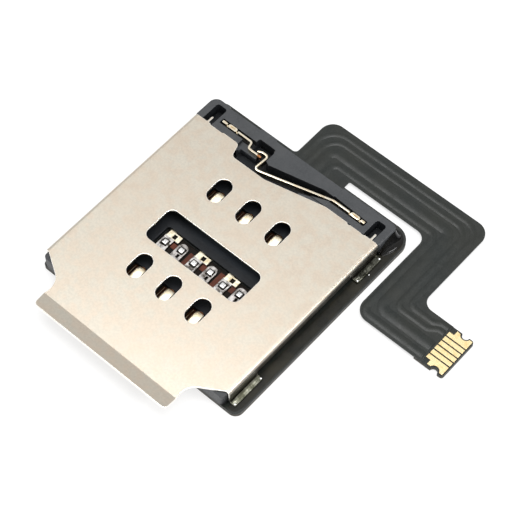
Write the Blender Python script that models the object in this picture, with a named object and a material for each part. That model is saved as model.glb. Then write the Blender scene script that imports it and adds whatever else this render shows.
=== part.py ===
"""A micro-SIM card socket on a flex circuit with a Z-shaped tail.

Lengths are in metres. X runs across the card slot, the card goes in along +Y, and Z points up,
from the board side to the cover. The origin is under the middle of the six contacts, on the
underside of the socket stiffener. Pieces that touch in the real socket keep FIT_GAP between them.
"""

import bpy
import bmesh
from math import acos, atan2, ceil, cos, pi, radians, sin, tan
from mathutils import Matrix, Vector
from mathutils.geometry import delaunay_2d_cdt

# Contact grid
CONTACT_PITCH = 0.00254
CONTACT_ROW_SPACING = 0.00762

# Layers, from the bottom up
STIFFENER_THICKNESS = 0.00020
FILM_THICKNESS = 0.00015
FLOOR_THICKNESS = 0.00028
BAY_HEIGHT = 0.00085
SHEET_THICKNESS = 0.00015
FIT_GAP = 0.00002

# Cover
COVER_WIDTH = 0.01600
COVER_REAR = 0.00745
COVER_SIDE_LENGTH = 0.01435
COVER_BEND_RADIUS = 0.00028
COVER_WALL_DEPTH = 0.00078
CORNER_DEPTH = 0.00235
CORNER_ARC_RADIUS = 0.00127
CORNER_ARC_INSET = 0.00105
CORNER_ARC_AHEAD = 0.00195
LIP_LENGTH = 0.00110
LIP_ANGLE = radians(20.0)
LIP_FLARE = 0.00010
LIP_CORNER_RADIUS = 0.00030
LIP_BEND_RADIUS = 0.00030
WINDOW_WIDTH = 0.00118
WINDOW_LENGTH = 0.00198
SOLDER_WINDOW_WIDTH = 0.00803
SOLDER_WINDOW_LENGTH = 0.00272
SOLDER_WINDOW_AHEAD = 0.00058
SOLDER_WINDOW_RADIUS = 0.00052
TAB_WIDTH = 0.00015
TAB_LENGTH = 0.00050
LEFT_TAB_INSET = 0.00103
RIGHT_TAB_INSET = 0.00070
FOOT_REACH = 0.00042
FOOT_BEND_RADIUS = 0.00010
REAR_FOOT_LENGTH = 0.00240
REAR_FOOT_SETBACK = 0.00015
FRONT_FOOT_LENGTH = 0.00260
REAR_NOTCH_DEPTH = 0.00103
REAR_NOTCH_LEFT = -0.00410
REAR_NOTCH_FLOOR_LEFT = -0.00378
REAR_NOTCH_FLOOR_RIGHT = -0.00095
REAR_NOTCH_RIGHT = 0.00352
REAR_NOTCH_RADIUS = 0.00035
REAR_NOTCH_SLANT_RADIUS = 0.00120

# Housing
BAY_WIDTH = 0.01230
BAY_STOP = 0.00700
HOUSING_SIDE_CLEARANCE = 0.00005
HOUSING_REAR_DEPTH = 0.00182
HOUSING_TOP_DROP = 0.00005
HOUSING_CORNER_RADIUS = 0.00060
HOUSING_FRONT_RADIUS = 0.00030
LEFT_BLOCK_WIDTH = 0.00155
LEFT_BLOCK_SLANT = 0.00015
HOUSING_RIGHT_BULGE = 0.00005
RIGHT_BLOCK_LEFT = 0.00342
RIGHT_BLOCK_DROP = 0.00005
RIGHT_BLOCK_RADIUS = 0.00040
REAR_STEP_HEIGHT = 0.00015
REAR_STEP_LEFT = -0.00372
REAR_STEP_LENGTH = 0.00128
LEFT_POCKET_INSET = 0.00060
LEFT_POCKET_WIDTH = 0.00084
LEFT_POCKET_WALL = 0.00024
RIGHT_POCKET_INSET = 0.00052
RIGHT_POCKET_WIDTH = 0.00078
RIGHT_POCKET_WALL = 0.00034
POCKET_RADIUS = 0.00020
FLOOR_WINDOW_LENGTH = 0.00215
FLOOR_WINDOW_REAR = 0.00005
FLOOR_WINDOW_RADIUS = 0.00020
WINDOW_LEFT_MARGIN = 0.00025
WINDOW_RIGHT_MARGIN = 0.00025
TONGUE_SLOT_CLEARANCE = 0.00012

# Card contacts
CONTACT_THICKNESS = 0.00010
TONGUE_WIDTH = 0.00060
TONGUE_LENGTH = 0.00278
TONGUE_TIP_REACH = 0.00034
DOME_HEIGHT = 0.00045
DOME_DROP = 0.00016
DOME_SETBACK = 0.00012
LEAD_WIDTH = 0.00042
LEAD_JOG_START = 0.00025
LEAD_JOG_END = 0.00085
REAR_TAIL_OFFSET = -0.00067
FRONT_TAIL_OFFSET = 0.00073
REAR_TAIL_END = -0.00150
FRONT_TAIL_END = -0.00025
ROOT_PAD_LENGTH = 0.00010
LUG_REACH = 0.00079
LUG_LENGTH = 0.00048
LUG_REAR = 0.00002
LUG_NOTCH_WIDTH = 0.00028
LUG_NOTCH_DEPTH = 0.00034
EYE_WIDTH = 0.00084
EYE_LENGTH = 0.00100
SOLDER_SIZE = 0.00048
SOLDER_HEIGHT = 0.00010
SOLDER_SETBACK = 0.00053
REAR_SOLDER_SHIFT = 0.00013

# Card-detect switch. Depths run forward from the line of the leaf anchors.
SWITCH_SETBACK = 0.00074
LEAF_THICKNESS = 0.00012
LEAF_HEIGHT = 0.00045
LEAF_TOP_DROP = 0.00008
LEAF_SLOT_CLEARANCE = 0.00004
LEAF_SWING = 0.00014
LEAF_ANCHOR_INSET = 0.00178
LEAF_BEND_X = 0.00360
LEAF_KNEE_X = -0.00150
LEAF_KNEE_DEPTH = 0.00142
LEAF_NOSE_X = -0.00205
LEAF_NOSE_DEPTH = 0.00152
HOOK_X = -0.00195
HOOK_DEPTH = 0.00018
HOOK_BEND_X = -0.00248
HOOK_TIP_X = -0.00280
HOOK_TIP_DEPTH = 0.00033
FIXED_LEAF_JOG_X = -0.00350
FIXED_LEAF_JOG = 0.00006
FIXED_LEAF_DEPTH = 0.00003
FIXED_LEAF_TIP_X = -0.00262
FIXED_LEAF_TIP_DEPTH = 0.00055
LEAF_WIDE_RADIUS = 0.00080
LEAF_RADIUS = 0.00030
LEAF_TIGHT_RADIUS = 0.00020
CURL_WIDTH = 0.00024
CURL_LENGTH = 0.00072
CURL_RADIUS = 0.00008
MOVING_CURL_SETBACK = 0.00040
FIXED_CURL_SETBACK = 0.00056
RECESS_LEFT = -0.00394
RECESS_STEP_X = 0.00140
RECESS_STEP_DEPTH = 0.00102
RECESS_END_HALF = 0.00022
RECESS_MOUTH_X = 0.00260
RECESS_KNEE_CLEARANCE = 0.00070
BLOCK_EDGE_CLEARANCE = 0.00012
BLOCK_EDGE_DEPTH = 0.00056
LEDGE_LEFT = -0.00418
LEDGE_FRONT_DEPTH = 0.00077
LEDGE_REAR_DEPTH = 0.00022
LEDGE_DROP = 0.00058
HOOK_POCKET_LEFT = -0.00334
HOOK_POCKET_FRONT_DEPTH = 0.00040
HOOK_POCKET_REACH = 0.00050
RECESS_RADIUS = 0.00015

# Flex circuit
BASE_LEDGE = 0.00092
BASE_FRONT_MARGIN = 0.00045
BASE_REAR_MARGIN = 0.00081
BASE_LEFT_RADIUS = 0.00030
BASE_FRONT_RADIUS = 0.00060
BASE_REAR_RADIUS = 0.00130
TAIL_LEFT = -0.00133
TAIL_ROOT_WIDTH = 0.00423
TAIL_REACH = 0.00450
TAIL_TOP_WIDTH = 0.00307
TAIL_SIDE_GAP = 0.00057
TAIL_SIDE_WIDTH = 0.00295
TAIL_END_REAR = 0.00652
TAIL_END_WIDTH = 0.00330
TAIL_END_LENGTH = 0.00428
TAIL_CORNER_RADIUS = 0.00100
TAIL_INNER_RADIUS = 0.00080
TAIL_ROOT_RADIUS = 0.00030
TAIL_SLIT_RADIUS = 0.00010
TAIL_END_RADIUS = 0.00020
COVERLAY_THICKNESS = 0.00004
BARE_END_LENGTH = 0.00168
BACKING_OVERLAP = 0.00060
BARE_WINDOW_MARGIN = 0.00030
END_NOTCH_RADIUS = 0.00027
END_NOTCH_SETBACK = 0.00068
FINGER_COUNT = 6
FINGER_PITCH = 0.00041
FINGER_SPACE = 0.00009
FINGER_THICKNESS = 0.00003
FINGER_END_MARGIN = 0.00008
FINGER_HOOK_WIDTH = 0.00024
FINGER_NOTCH_MARGIN = 0.00010

# Solder fillets and sealant bead
FOOT_SOLDER_HEIGHT = 0.00022
SEALANT_START = 0.00010
SEALANT_RUN = 0.00030
SEALANT_WIDTH = 0.00062
SEALANT_HEIGHT = 0.00100

# Levels
stiffener_top = STIFFENER_THICKNESS
film_bottom = stiffener_top + FIT_GAP
film_top = film_bottom + FILM_THICKNESS
bare_film_top = film_top - COVERLAY_THICKNESS
floor_bottom = film_top + FIT_GAP
floor_top = floor_bottom + FLOOR_THICKNESS
cover_under = floor_top + BAY_HEIGHT
cover_top = cover_under + SHEET_THICKNESS
housing_top = cover_top - HOUSING_TOP_DROP

# Places in plan
cover_half = COVER_WIDTH / 2
cover_flat_half = cover_half - COVER_BEND_RADIUS
side_front = COVER_REAR - COVER_SIDE_LENGTH
lip_bend_y = side_front - CORNER_DEPTH
housing_half = cover_half - SHEET_THICKNESS - HOUSING_SIDE_CLEARANCE
housing_front = side_front - BASE_FRONT_MARGIN
housing_rear = COVER_REAR + HOUSING_REAR_DEPTH
base_left = -cover_half
base_right = cover_half + BASE_LEDGE
base_front = housing_front
base_rear = housing_rear + BASE_REAR_MARGIN
tail_side_left = base_right + TAIL_SIDE_GAP
tail_side_right = tail_side_left + TAIL_SIDE_WIDTH
tail_end_right = tail_side_right + TAIL_END_LENGTH
tail_end_front = TAIL_END_REAR - TAIL_END_WIDTH
coverlay_end = tail_end_right - BARE_END_LENGTH
leaf_anchor = cover_half - LEAF_ANCHOR_INSET
lead_bend_radius = LEAD_WIDTH / 2 + 2 * FIT_GAP
window_left = -CONTACT_PITCH + REAR_TAIL_OFFSET - LEAD_WIDTH / 2 - WINDOW_LEFT_MARGIN
window_right = CONTACT_PITCH + FRONT_TAIL_OFFSET + EYE_WIDTH / 2 + WINDOW_RIGHT_MARGIN
window_front = FLOOR_WINDOW_REAR - FLOOR_WINDOW_LENGTH
contact_columns = [-CONTACT_PITCH, 0.0, CONTACT_PITCH]
contact_rows = [CONTACT_ROW_SPACING / 2, -CONTACT_ROW_SPACING / 2]

# Outlines are filled at this scale, because the fill merges points that lie very close together.
FILL_SCALE = 1000.0
FILL_MERGE = 1e-6
ARC_STEP = radians(15.0)
OVERCUT = 0.0005


def clear_scene():
    for item in list(bpy.data.objects):
        bpy.data.objects.remove(item, do_unlink=True)


def material(name, color, roughness, metallic):
    finish = bpy.data.materials.new(name)
    finish.use_nodes = True
    shader = finish.node_tree.nodes["Principled BSDF"]
    shader.inputs["Base Color"].default_value = (*color, 1.0)
    shader.inputs["Roughness"].default_value = roughness
    shader.inputs["Metallic"].default_value = metallic
    finish.diffuse_color = (*color, 1.0)
    return finish


def new_object(name, bm, finish=None):
    """Turns a bmesh into a linked object, with its faces turned outward."""
    bmesh.ops.recalc_face_normals(bm, faces=bm.faces)
    top = max(bm.faces, key=lambda face: face.calc_center_median().z)
    if top.normal.z < 0.0:
        bmesh.ops.reverse_faces(bm, faces=bm.faces)
    mesh = bpy.data.meshes.new(name)
    bm.to_mesh(mesh)
    bm.free()
    item = bpy.data.objects.new(name, mesh)
    bpy.context.collection.objects.link(item)
    if finish is not None:
        mesh.materials.append(finish)
    return item


def move_origin(item, place):
    """Puts a piece's origin at the given place, with its shape left where it is."""
    item.data.transform(Matrix.Translation(-Vector(place)))
    item.location = place


def arc(center_x, center_y, radius, start, end):
    """Points on an arc from the start angle to the end angle, both included."""
    steps = max(2, ceil(abs(end - start) / ARC_STEP))
    points = []
    for i in range(steps + 1):
        angle = start + (end - start) * i / steps
        points.append((center_x + radius * cos(angle), center_y + radius * sin(angle)))
    return points


def rounded(corners):
    """A closed outline from (x, y, radius) corners, each rounded by its own radius."""
    points = []
    for i, (x, y, radius) in enumerate(corners):
        corner = Vector((x, y))
        before = Vector(corners[i - 1][:2]) - corner
        after = Vector(corners[(i + 1) % len(corners)][:2]) - corner
        if radius <= 0.0:
            points.append((x, y))
            continue
        to_before = before.normalized()
        to_after = after.normalized()
        half_angle = acos(max(-1.0, min(1.0, to_before.dot(to_after)))) / 2
        reach = min(radius / tan(half_angle), 0.49 * before.length, 0.49 * after.length)
        radius = reach * tan(half_angle)
        bisector = (to_before + to_after).normalized()
        center = corner + bisector * (radius / sin(half_angle))
        start = corner + to_before * reach - center
        end = corner + to_after * reach - center
        first = atan2(start.y, start.x)
        turn = (atan2(end.y, end.x) - first + pi) % (2 * pi) - pi
        points.extend(arc(center.x, center.y, radius, first, first + turn))
    return points


def rectangle(left, right, front, rear, radius=0.0):
    corners = [(left, front), (right, front), (right, rear), (left, rear)]
    return rounded([(x, y, radius) for x, y in corners])


def obround(x, y, width, length):
    """A slot outline with round ends, long along Y."""
    radius = width / 2
    reach = length / 2 - radius
    return arc(x, y + reach, radius, 0.0, pi) + arc(x, y - reach, radius, pi, 2 * pi)


def turns_left(loop):
    """Whether an outline runs counter-clockwise."""
    return sum(loop[i - 1][0] * loop[i][1] - loop[i][0] * loop[i - 1][1] for i in range(len(loop))) > 0.0


def fill(loops):
    """Triangles over an outline with holes, as indices into the loops laid end to end."""
    points = []
    rings = []
    for loop in loops:
        ring = list(range(len(points), len(points) + len(loop)))
        rings.append(ring if turns_left(loop) else ring[::-1])
        points += [Vector((x * FILL_SCALE, y * FILL_SCALE)) for x, y in loop]
    edges = [(ring[i - 1], ring[i]) for ring in rings for i in range(len(ring))]
    inside_constraints = 1
    result = delaunay_2d_cdt(points, edges, rings, inside_constraints, FILL_MERGE)
    triangles, sources, covered = result[2], result[3], result[5]
    inside = [triangle for triangle, owners in zip(triangles, covered) if owners == [0]]
    return [[sources[i][0] for i in triangle] for triangle in inside]


def prism_mesh(bm, outline, bottom, top, holes=()):
    """Adds an upright closed prism, with through holes, to a bmesh."""
    loops = [outline, *holes]
    low = []
    high = []
    for loop in loops:
        low.append([bm.verts.new((x, y, bottom)) for x, y in loop])
        high.append([bm.verts.new((x, y, top)) for x, y in loop])
    flat_low = [vert for ring in low for vert in ring]
    flat_high = [vert for ring in high for vert in ring]
    for a, b, c in fill(loops):
        bm.faces.new((flat_low[a], flat_low[b], flat_low[c]))
        bm.faces.new((flat_high[c], flat_high[b], flat_high[a]))
    for ring_low, ring_high in zip(low, high):
        for i in range(len(ring_low)):
            bm.faces.new((ring_low[i - 1], ring_low[i], ring_high[i], ring_high[i - 1]))


def prism(name, outline, bottom, top, holes=(), finish=None):
    bm = bmesh.new()
    prism_mesh(bm, outline, bottom, top, holes)
    return new_object(name, bm, finish)


def cutter(name, outline, bottom, top):
    tool = prism(name, outline, bottom, top)
    tool.hide_render = True
    tool.display_type = "WIRE"
    return tool


def combine(target, tool, operation):
    """Adds a Boolean modifier to the target and marks its tool as a construction shape."""
    tool.hide_render = True
    tool.display_type = "WIRE"
    step = target.modifiers.new(tool.name, "BOOLEAN")
    step.operation = operation
    step.solver = "EXACT"
    step.object = tool


def cut(target, name, outline, bottom, top):
    combine(target, cutter(name, outline, bottom, top), "DIFFERENCE")


def add(target, name, outline, bottom, top):
    combine(target, cutter(name, outline, bottom, top), "UNION")


def rounded_path(corners):
    """An open path from (x, y, radius) corners, with its inner corners rounded."""
    first, *middle, last = corners
    return rounded([(*first[:2], 0.0), *middle, (*last[:2], 0.0)])


def band(path, width):
    """The closed outline of a strip of even width along an open path."""
    left = []
    right = []
    for i, point in enumerate(path):
        here = Vector(point)
        before = (here - Vector(path[i - 1])).normalized() if i > 0 else None
        after = (Vector(path[i + 1]) - here).normalized() if i < len(path) - 1 else None
        along = (before + after).normalized() if before and after else (before or after)
        across = Vector((-along.y, along.x))
        mitre = across.dot(Vector((-after.y, after.x))) if after else 1.0
        offset = across * (width / 2 / max(mitre, 0.5))
        left.append(tuple(here + offset))
        right.append(tuple(here - offset))
    return left + right[::-1]


# Cover shell

def corner_cut(side):
    """The slanted edge and concave arc of one front corner, from the side wall to the lip."""
    center_x = cover_half - CORNER_ARC_INSET
    center_y = side_front - CORNER_ARC_AHEAD
    lip_angle = pi + acos(1.0) + (center_y - lip_bend_y) / CORNER_ARC_RADIUS
    sweep = arc(center_x, center_y, CORNER_ARC_RADIUS, radians(126.0), lip_angle)
    sweep[-1] = (sweep[-1][0], lip_bend_y)
    return [(side * x, y) for x, y in sweep]


def foot_spans():
    """The Y ranges of the two soldered feet on the right wall, front foot first."""
    rear_end = COVER_REAR - REAR_FOOT_SETBACK
    return [(side_front, side_front + FRONT_FOOT_LENGTH), (rear_end - REAR_FOOT_LENGTH, rear_end)]


def rear_edge():
    """The cover's rear edge from right to left, with its two tabs and the switch notch."""
    right_tab = cover_half - RIGHT_TAB_INSET
    left_tab = -cover_half + LEFT_TAB_INSET
    tab_rear = COVER_REAR + TAB_LENGTH
    notch_floor = COVER_REAR - REAR_NOTCH_DEPTH
    notch = rounded_path([
        (right_tab, COVER_REAR, 0.0),
        (REAR_NOTCH_RIGHT, COVER_REAR, REAR_NOTCH_SLANT_RADIUS),
        (REAR_NOTCH_FLOOR_RIGHT, notch_floor, REAR_NOTCH_SLANT_RADIUS),
        (REAR_NOTCH_FLOOR_LEFT, notch_floor, REAR_NOTCH_RADIUS),
        (REAR_NOTCH_LEFT, COVER_REAR, REAR_NOTCH_RADIUS),
        (left_tab + TAB_WIDTH, COVER_REAR, 0.0),
    ])
    edge = [(right_tab + TAB_WIDTH, COVER_REAR), (right_tab + TAB_WIDTH, tab_rear), (right_tab, tab_rear)]
    edge += notch
    edge += [(left_tab + TAB_WIDTH, tab_rear), (left_tab, tab_rear), (left_tab, COVER_REAR)]
    return edge


def cover_outline():
    """The flat part of the cover, counter-clockwise from the right wall's front end."""
    heights = [side_front]
    for low, high in foot_spans():
        heights += [low, high]
    heights = sorted(set(heights + [COVER_REAR]))
    right = [(cover_flat_half, y) for y in heights]
    left = [(-cover_flat_half, COVER_REAR), (-cover_flat_half, side_front)]
    return right + rear_edge() + left + corner_cut(-1) + corner_cut(1)[::-1], heights


def cover_windows():
    windows = [obround(x, y, WINDOW_WIDTH, WINDOW_LENGTH) for y in contact_rows for x in contact_columns]
    middle = -SOLDER_WINDOW_AHEAD
    half_width = SOLDER_WINDOW_WIDTH / 2
    half_length = SOLDER_WINDOW_LENGTH / 2
    windows.append(rectangle(-half_width, half_width, middle - half_length, middle + half_length,
                             SOLDER_WINDOW_RADIUS))
    return windows


class Skin:
    """The outer surface of a folded sheet, whose faces share their corner points."""

    def __init__(self):
        self.bm = bmesh.new()
        self.points = {}

    def vert(self, x, y, z):
        key = (round(x, 8), round(y, 8), round(z, 8))
        if key not in self.points:
            self.points[key] = self.bm.verts.new((x, y, z))
        return self.points[key]

    def face(self, corners):
        self.bm.faces.new([self.vert(*corner) for corner in corners])

    def rows(self, lines):
        """Joins neighbouring lines of points, each with as many points, by four-sided faces."""
        for low, high in zip(lines, lines[1:]):
            for i in range(len(low) - 1):
                self.face([low[i], low[i + 1], high[i + 1], high[i]])


def wall_profile(side):
    """The (x, z) points over the cover's side bend and down the wall to its lower edge."""
    steps = 5
    profile = []
    for i in range(steps + 1):
        angle = (pi / 2) * i / steps
        x = cover_flat_half + COVER_BEND_RADIUS * sin(angle)
        profile.append((side * x, cover_top - COVER_BEND_RADIUS * (1 - cos(angle))))
    profile.append((side * cover_half, cover_top - COVER_WALL_DEPTH))
    return profile


def foot_profile():
    """The (x, z) points from the right wall's lower edge out over a soldered foot."""
    steps = 3
    foot_top = floor_bottom + SHEET_THICKNESS
    profile = [(cover_half, cover_top - COVER_WALL_DEPTH)]
    for i in range(steps + 1):
        angle = (pi / 2) * i / steps
        x = cover_half + FOOT_BEND_RADIUS * (1 - cos(angle))
        profile.append((x, foot_top + FOOT_BEND_RADIUS * (1 - sin(angle))))
    profile.append((cover_half + FOOT_REACH, foot_top))
    return profile


def lip_faces(skin):
    """The upward bend and the flat flared tongue of the front lip."""
    left, right = corner_cut(-1)[-1][0], corner_cut(1)[-1][0]
    steps = 3
    lines = []
    for i in range(steps + 1):
        angle = LIP_ANGLE * i / steps
        y = lip_bend_y - LIP_BEND_RADIUS * sin(angle)
        z = cover_top + LIP_BEND_RADIUS * (1 - cos(angle))
        lines.append([(left, y, z), (right, y, z)])
    skin.rows(lines)
    start_y, start_z = lines[-1][0][1:]
    edge = rounded([
        (left, 0.0, 0.0),
        (left - LIP_FLARE, LIP_LENGTH, LIP_CORNER_RADIUS),
        (right + LIP_FLARE, LIP_LENGTH, LIP_CORNER_RADIUS),
        (right, 0.0, 0.0),
    ])
    skin.face([(x, start_y - s * cos(LIP_ANGLE), start_z + s * sin(LIP_ANGLE)) for x, s in edge])


def make_cover_shell(finish):
    skin = Skin()
    outline, heights = cover_outline()
    loops = [outline, *cover_windows()]
    flat = [point for loop in loops for point in loop]
    for triangle in fill(loops):
        skin.face([(*flat[i], cover_top) for i in triangle])
    right_wall = wall_profile(1)
    skin.rows([[(x, y, z) for x, z in right_wall] for y in heights])
    left_wall = wall_profile(-1)
    skin.rows([[(x, y, z) for x, z in left_wall] for y in (side_front, COVER_REAR)])
    for low, high in foot_spans():
        skin.rows([[(x, y, z) for x, z in foot_profile()] for y in (low, high)])
    lip_faces(skin)
    shell = new_object("cover_shell", skin.bm, finish)
    sheet = shell.modifiers.new("sheet", "SOLIDIFY")
    sheet.thickness = SHEET_THICKNESS
    sheet.offset = -1.0
    sheet.use_even_offset = True
    sheet.use_quality_normals = True
    return shell


# Card-detect switch

leaf_top = housing_top - LEAF_TOP_DROP
leaf_bottom = leaf_top - LEAF_HEIGHT
switch_line = COVER_REAR + SWITCH_SETBACK
leaf_pivot = (leaf_anchor, switch_line, (leaf_top + leaf_bottom) / 2)


def moving_leaf_path():
    """The long leaf from its anchored end to its hooked contact end."""
    return rounded_path([
        (leaf_anchor, switch_line, 0.0),
        (LEAF_BEND_X, switch_line, LEAF_WIDE_RADIUS),
        (LEAF_KNEE_X, switch_line - LEAF_KNEE_DEPTH, LEAF_RADIUS),
        (LEAF_NOSE_X, switch_line - LEAF_NOSE_DEPTH, LEAF_RADIUS),
        (HOOK_X, switch_line - HOOK_DEPTH, LEAF_RADIUS),
        (HOOK_BEND_X, switch_line - HOOK_DEPTH, LEAF_RADIUS),
        (HOOK_TIP_X, switch_line - HOOK_TIP_DEPTH, 0.0),
    ])


def fixed_leaf_path():
    """The short leaf from its anchored end to its contact end."""
    return rounded_path([
        (-leaf_anchor, switch_line, 0.0),
        (FIXED_LEAF_JOG_X - FIXED_LEAF_JOG, switch_line - FIXED_LEAF_DEPTH, LEAF_TIGHT_RADIUS),
        (FIXED_LEAF_JOG_X + FIXED_LEAF_JOG, switch_line - FIXED_LEAF_TIP_DEPTH, LEAF_TIGHT_RADIUS),
        (FIXED_LEAF_TIP_X, switch_line - FIXED_LEAF_TIP_DEPTH, 0.0),
    ])


def make_detect_leaf(name, path, curl_start, finish):
    """One leaf on edge, with the curl that grips its slot."""
    leaf = prism(name, band(path, LEAF_THICKNESS), leaf_bottom, leaf_top, finish=finish)
    curl = rectangle(curl_start, curl_start + CURL_LENGTH, switch_line - CURL_WIDTH / 2,
                     switch_line + CURL_WIDTH / 2, CURL_RADIUS)
    add(leaf, f"{name}_curl", curl, leaf_bottom, leaf_top)
    return leaf


def make_detect_switch(finish):
    moving_curl = leaf_anchor - MOVING_CURL_SETBACK - CURL_LENGTH
    moving = make_detect_leaf("detect_spring_moving", moving_leaf_path(), moving_curl, finish)
    move_origin(moving, leaf_pivot)
    make_detect_leaf("detect_spring_fixed", fixed_leaf_path(), -leaf_anchor + FIXED_CURL_SETBACK, finish)


# Housing

def housing_outline():
    """The rear block and the body under the cover, counter-clockwise from the front left."""
    corner_rear = housing_rear + REAR_STEP_HEIGHT
    step_right = REAR_STEP_LEFT + REAR_STEP_LENGTH
    radius = HOUSING_CORNER_RADIUS
    right = cover_half + HOUSING_RIGHT_BULGE
    shoulder = COVER_REAR + FIT_GAP
    return rounded([
        (-housing_half, housing_front, HOUSING_FRONT_RADIUS),
        (housing_half, housing_front, HOUSING_FRONT_RADIUS),
        (housing_half, shoulder, 0.0),
        (right, shoulder, 0.0),
        (right, corner_rear, RIGHT_BLOCK_RADIUS),
        (RIGHT_BLOCK_LEFT, corner_rear, 0.0),
        (RIGHT_BLOCK_LEFT, housing_rear, 0.0),
        (step_right, housing_rear, 0.0),
        (step_right, corner_rear, 0.0),
        (REAR_STEP_LEFT, corner_rear, 0.0),
        (REAR_STEP_LEFT, housing_rear, 0.0),
        (-cover_half + LEFT_BLOCK_WIDTH, housing_rear, 0.0),
        (-cover_half + LEFT_BLOCK_WIDTH - LEFT_BLOCK_SLANT, corner_rear, 0.0),
        (-cover_half, corner_rear, radius),
        (-cover_half, shoulder, 0.0),
        (-housing_half, shoulder, 0.0),
    ])


def tongue_slot(x, y):
    """The relief slot in the floor under one contact tongue."""
    half = TONGUE_WIDTH / 2 + TONGUE_SLOT_CLEARANCE
    rear = y + TONGUE_TIP_REACH + TONGUE_SLOT_CLEARANCE
    front = y + TONGUE_TIP_REACH - TONGUE_LENGTH - ROOT_PAD_LENGTH - FIT_GAP
    return rectangle(x - half, x + half, front, rear)


def switch_recess():
    """The deep recess that the long leaf swings in, open to the card bay."""
    inside_bay = BAY_STOP - OVERCUT
    end_x = LEAF_BEND_X - RECESS_RADIUS
    block_x = HOOK_X + BLOCK_EDGE_CLEARANCE
    pocket_y = switch_line + HOOK_POCKET_REACH / 2
    return rounded([
        (RECESS_LEFT, inside_bay, 0.0),
        (RECESS_STEP_X, inside_bay, 0.0),
        (RECESS_STEP_X, switch_line - RECESS_STEP_DEPTH, 0.0),
        (end_x, switch_line - RECESS_END_HALF, LEAF_RADIUS),
        (end_x, switch_line + RECESS_END_HALF, 0.0),
        (RECESS_MOUTH_X, switch_line + RECESS_END_HALF, LEAF_WIDE_RADIUS),
        (LEAF_KNEE_X, switch_line - LEAF_KNEE_DEPTH + RECESS_KNEE_CLEARANCE, 0.0),
        (block_x, switch_line - BLOCK_EDGE_DEPTH, 0.0),
        (block_x, pocket_y, 0.0),
        (FIXED_LEAF_TIP_X, pocket_y, 0.0),
        (FIXED_LEAF_TIP_X, switch_line - LEDGE_FRONT_DEPTH, 0.0),
        (RECESS_LEFT, switch_line - LEDGE_FRONT_DEPTH, RECESS_RADIUS),
    ])


def moving_slot():
    """The slot of the long leaf, a wedge that leaves room to swing near the recess."""
    half = CURL_WIDTH / 2 + LEAF_SLOT_CLEARANCE
    end = leaf_anchor + 2 * LEAF_SLOT_CLEARANCE
    start = LEAF_BEND_X - RECESS_RADIUS - LEAF_SLOT_CLEARANCE
    return [(start, switch_line - half), (end, switch_line - half), (end, switch_line + half),
            (start, switch_line + half + LEAF_SWING)]


def cut_switch_features(housing):
    top = housing_top + OVERCUT
    deep = floor_top
    hook_pocket_right = HOOK_X + LEAF_THICKNESS / 2
    cut(housing, "switch_recess", switch_recess(), deep, top)
    cut(housing, "switch_ledge",
        rectangle(LEDGE_LEFT, hook_pocket_right, switch_line - LEDGE_FRONT_DEPTH - FIT_GAP,
                  switch_line - LEDGE_REAR_DEPTH, RECESS_RADIUS),
        housing_top - LEDGE_DROP, top)
    cut(housing, "hook_pocket",
        rectangle(HOOK_POCKET_LEFT, hook_pocket_right, switch_line - HOOK_POCKET_FRONT_DEPTH,
                  switch_line + HOOK_POCKET_REACH, RECESS_RADIUS),
        deep, top)
    slot_half = CURL_WIDTH / 2 + LEAF_SLOT_CLEARANCE
    slot_bottom = leaf_bottom - FIT_GAP
    cut(housing, "moving_leaf_slot", moving_slot(), slot_bottom, top)
    cut(housing, "fixed_leaf_slot",
        rectangle(-leaf_anchor - 2 * LEAF_SLOT_CLEARANCE, FIXED_LEAF_JOG_X + slot_half,
                  switch_line - slot_half, switch_line + slot_half),
        slot_bottom, top)
    cut(housing, "right_block_step",
        rectangle(RIGHT_BLOCK_LEFT, cover_half + OVERCUT, COVER_REAR + FIT_GAP, housing_rear + OVERCUT),
        housing_top - RIGHT_BLOCK_DROP, top)


def cut_floor(housing, leads):
    """Cuts the solder window, the tongue slots and the grooves of the contact leads."""
    below = floor_bottom - OVERCUT
    cut(housing, "floor_window",
        rectangle(window_left, window_right, window_front, FLOOR_WINDOW_REAR, FLOOR_WINDOW_RADIUS),
        below, floor_top + OVERCUT / 2)
    groove_top = floor_bottom + CONTACT_THICKNESS + FIT_GAP
    for number, (x, y, lead) in enumerate(leads, start=1):
        cut(housing, f"tongue_slot_{number}", tongue_slot(x, y), below, floor_top + OVERCUT / 2)
        cut(housing, f"lead_groove_{number}", lead, below, groove_top)


def make_housing(finish, leads):
    housing = prism("housing", housing_outline(), floor_bottom, housing_top, finish=finish)
    bay_half = BAY_WIDTH / 2
    above = housing_top + OVERCUT
    outside = cover_half + OVERCUT
    under_cover = [(-outside, housing_front - OVERCUT), (outside, housing_front - OVERCUT),
                   (outside, COVER_REAR + FIT_GAP), (-outside, COVER_REAR + FIT_GAP)]
    cut(housing, "cover_seat", under_cover, cover_under - FIT_GAP, above)
    card_bay = rectangle(-bay_half, bay_half, housing_front - OVERCUT, BAY_STOP)
    cut(housing, "card_bay", card_bay, floor_top, above)
    left = -cover_half + LEFT_POCKET_INSET
    right = cover_half - RIGHT_POCKET_INSET
    open_front = COVER_REAR - OVERCUT
    left_pocket = rectangle(left, left + LEFT_POCKET_WIDTH, open_front, housing_rear - LEFT_POCKET_WALL,
                            POCKET_RADIUS)
    right_pocket = rectangle(right - RIGHT_POCKET_WIDTH, right, open_front, housing_rear - RIGHT_POCKET_WALL,
                             POCKET_RADIUS)
    cut(housing, "left_pocket", left_pocket, floor_top, above)
    cut(housing, "right_pocket", right_pocket, floor_top, above)
    cut_switch_features(housing)
    cut_floor(housing, leads)
    return housing


# Card contacts

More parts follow.
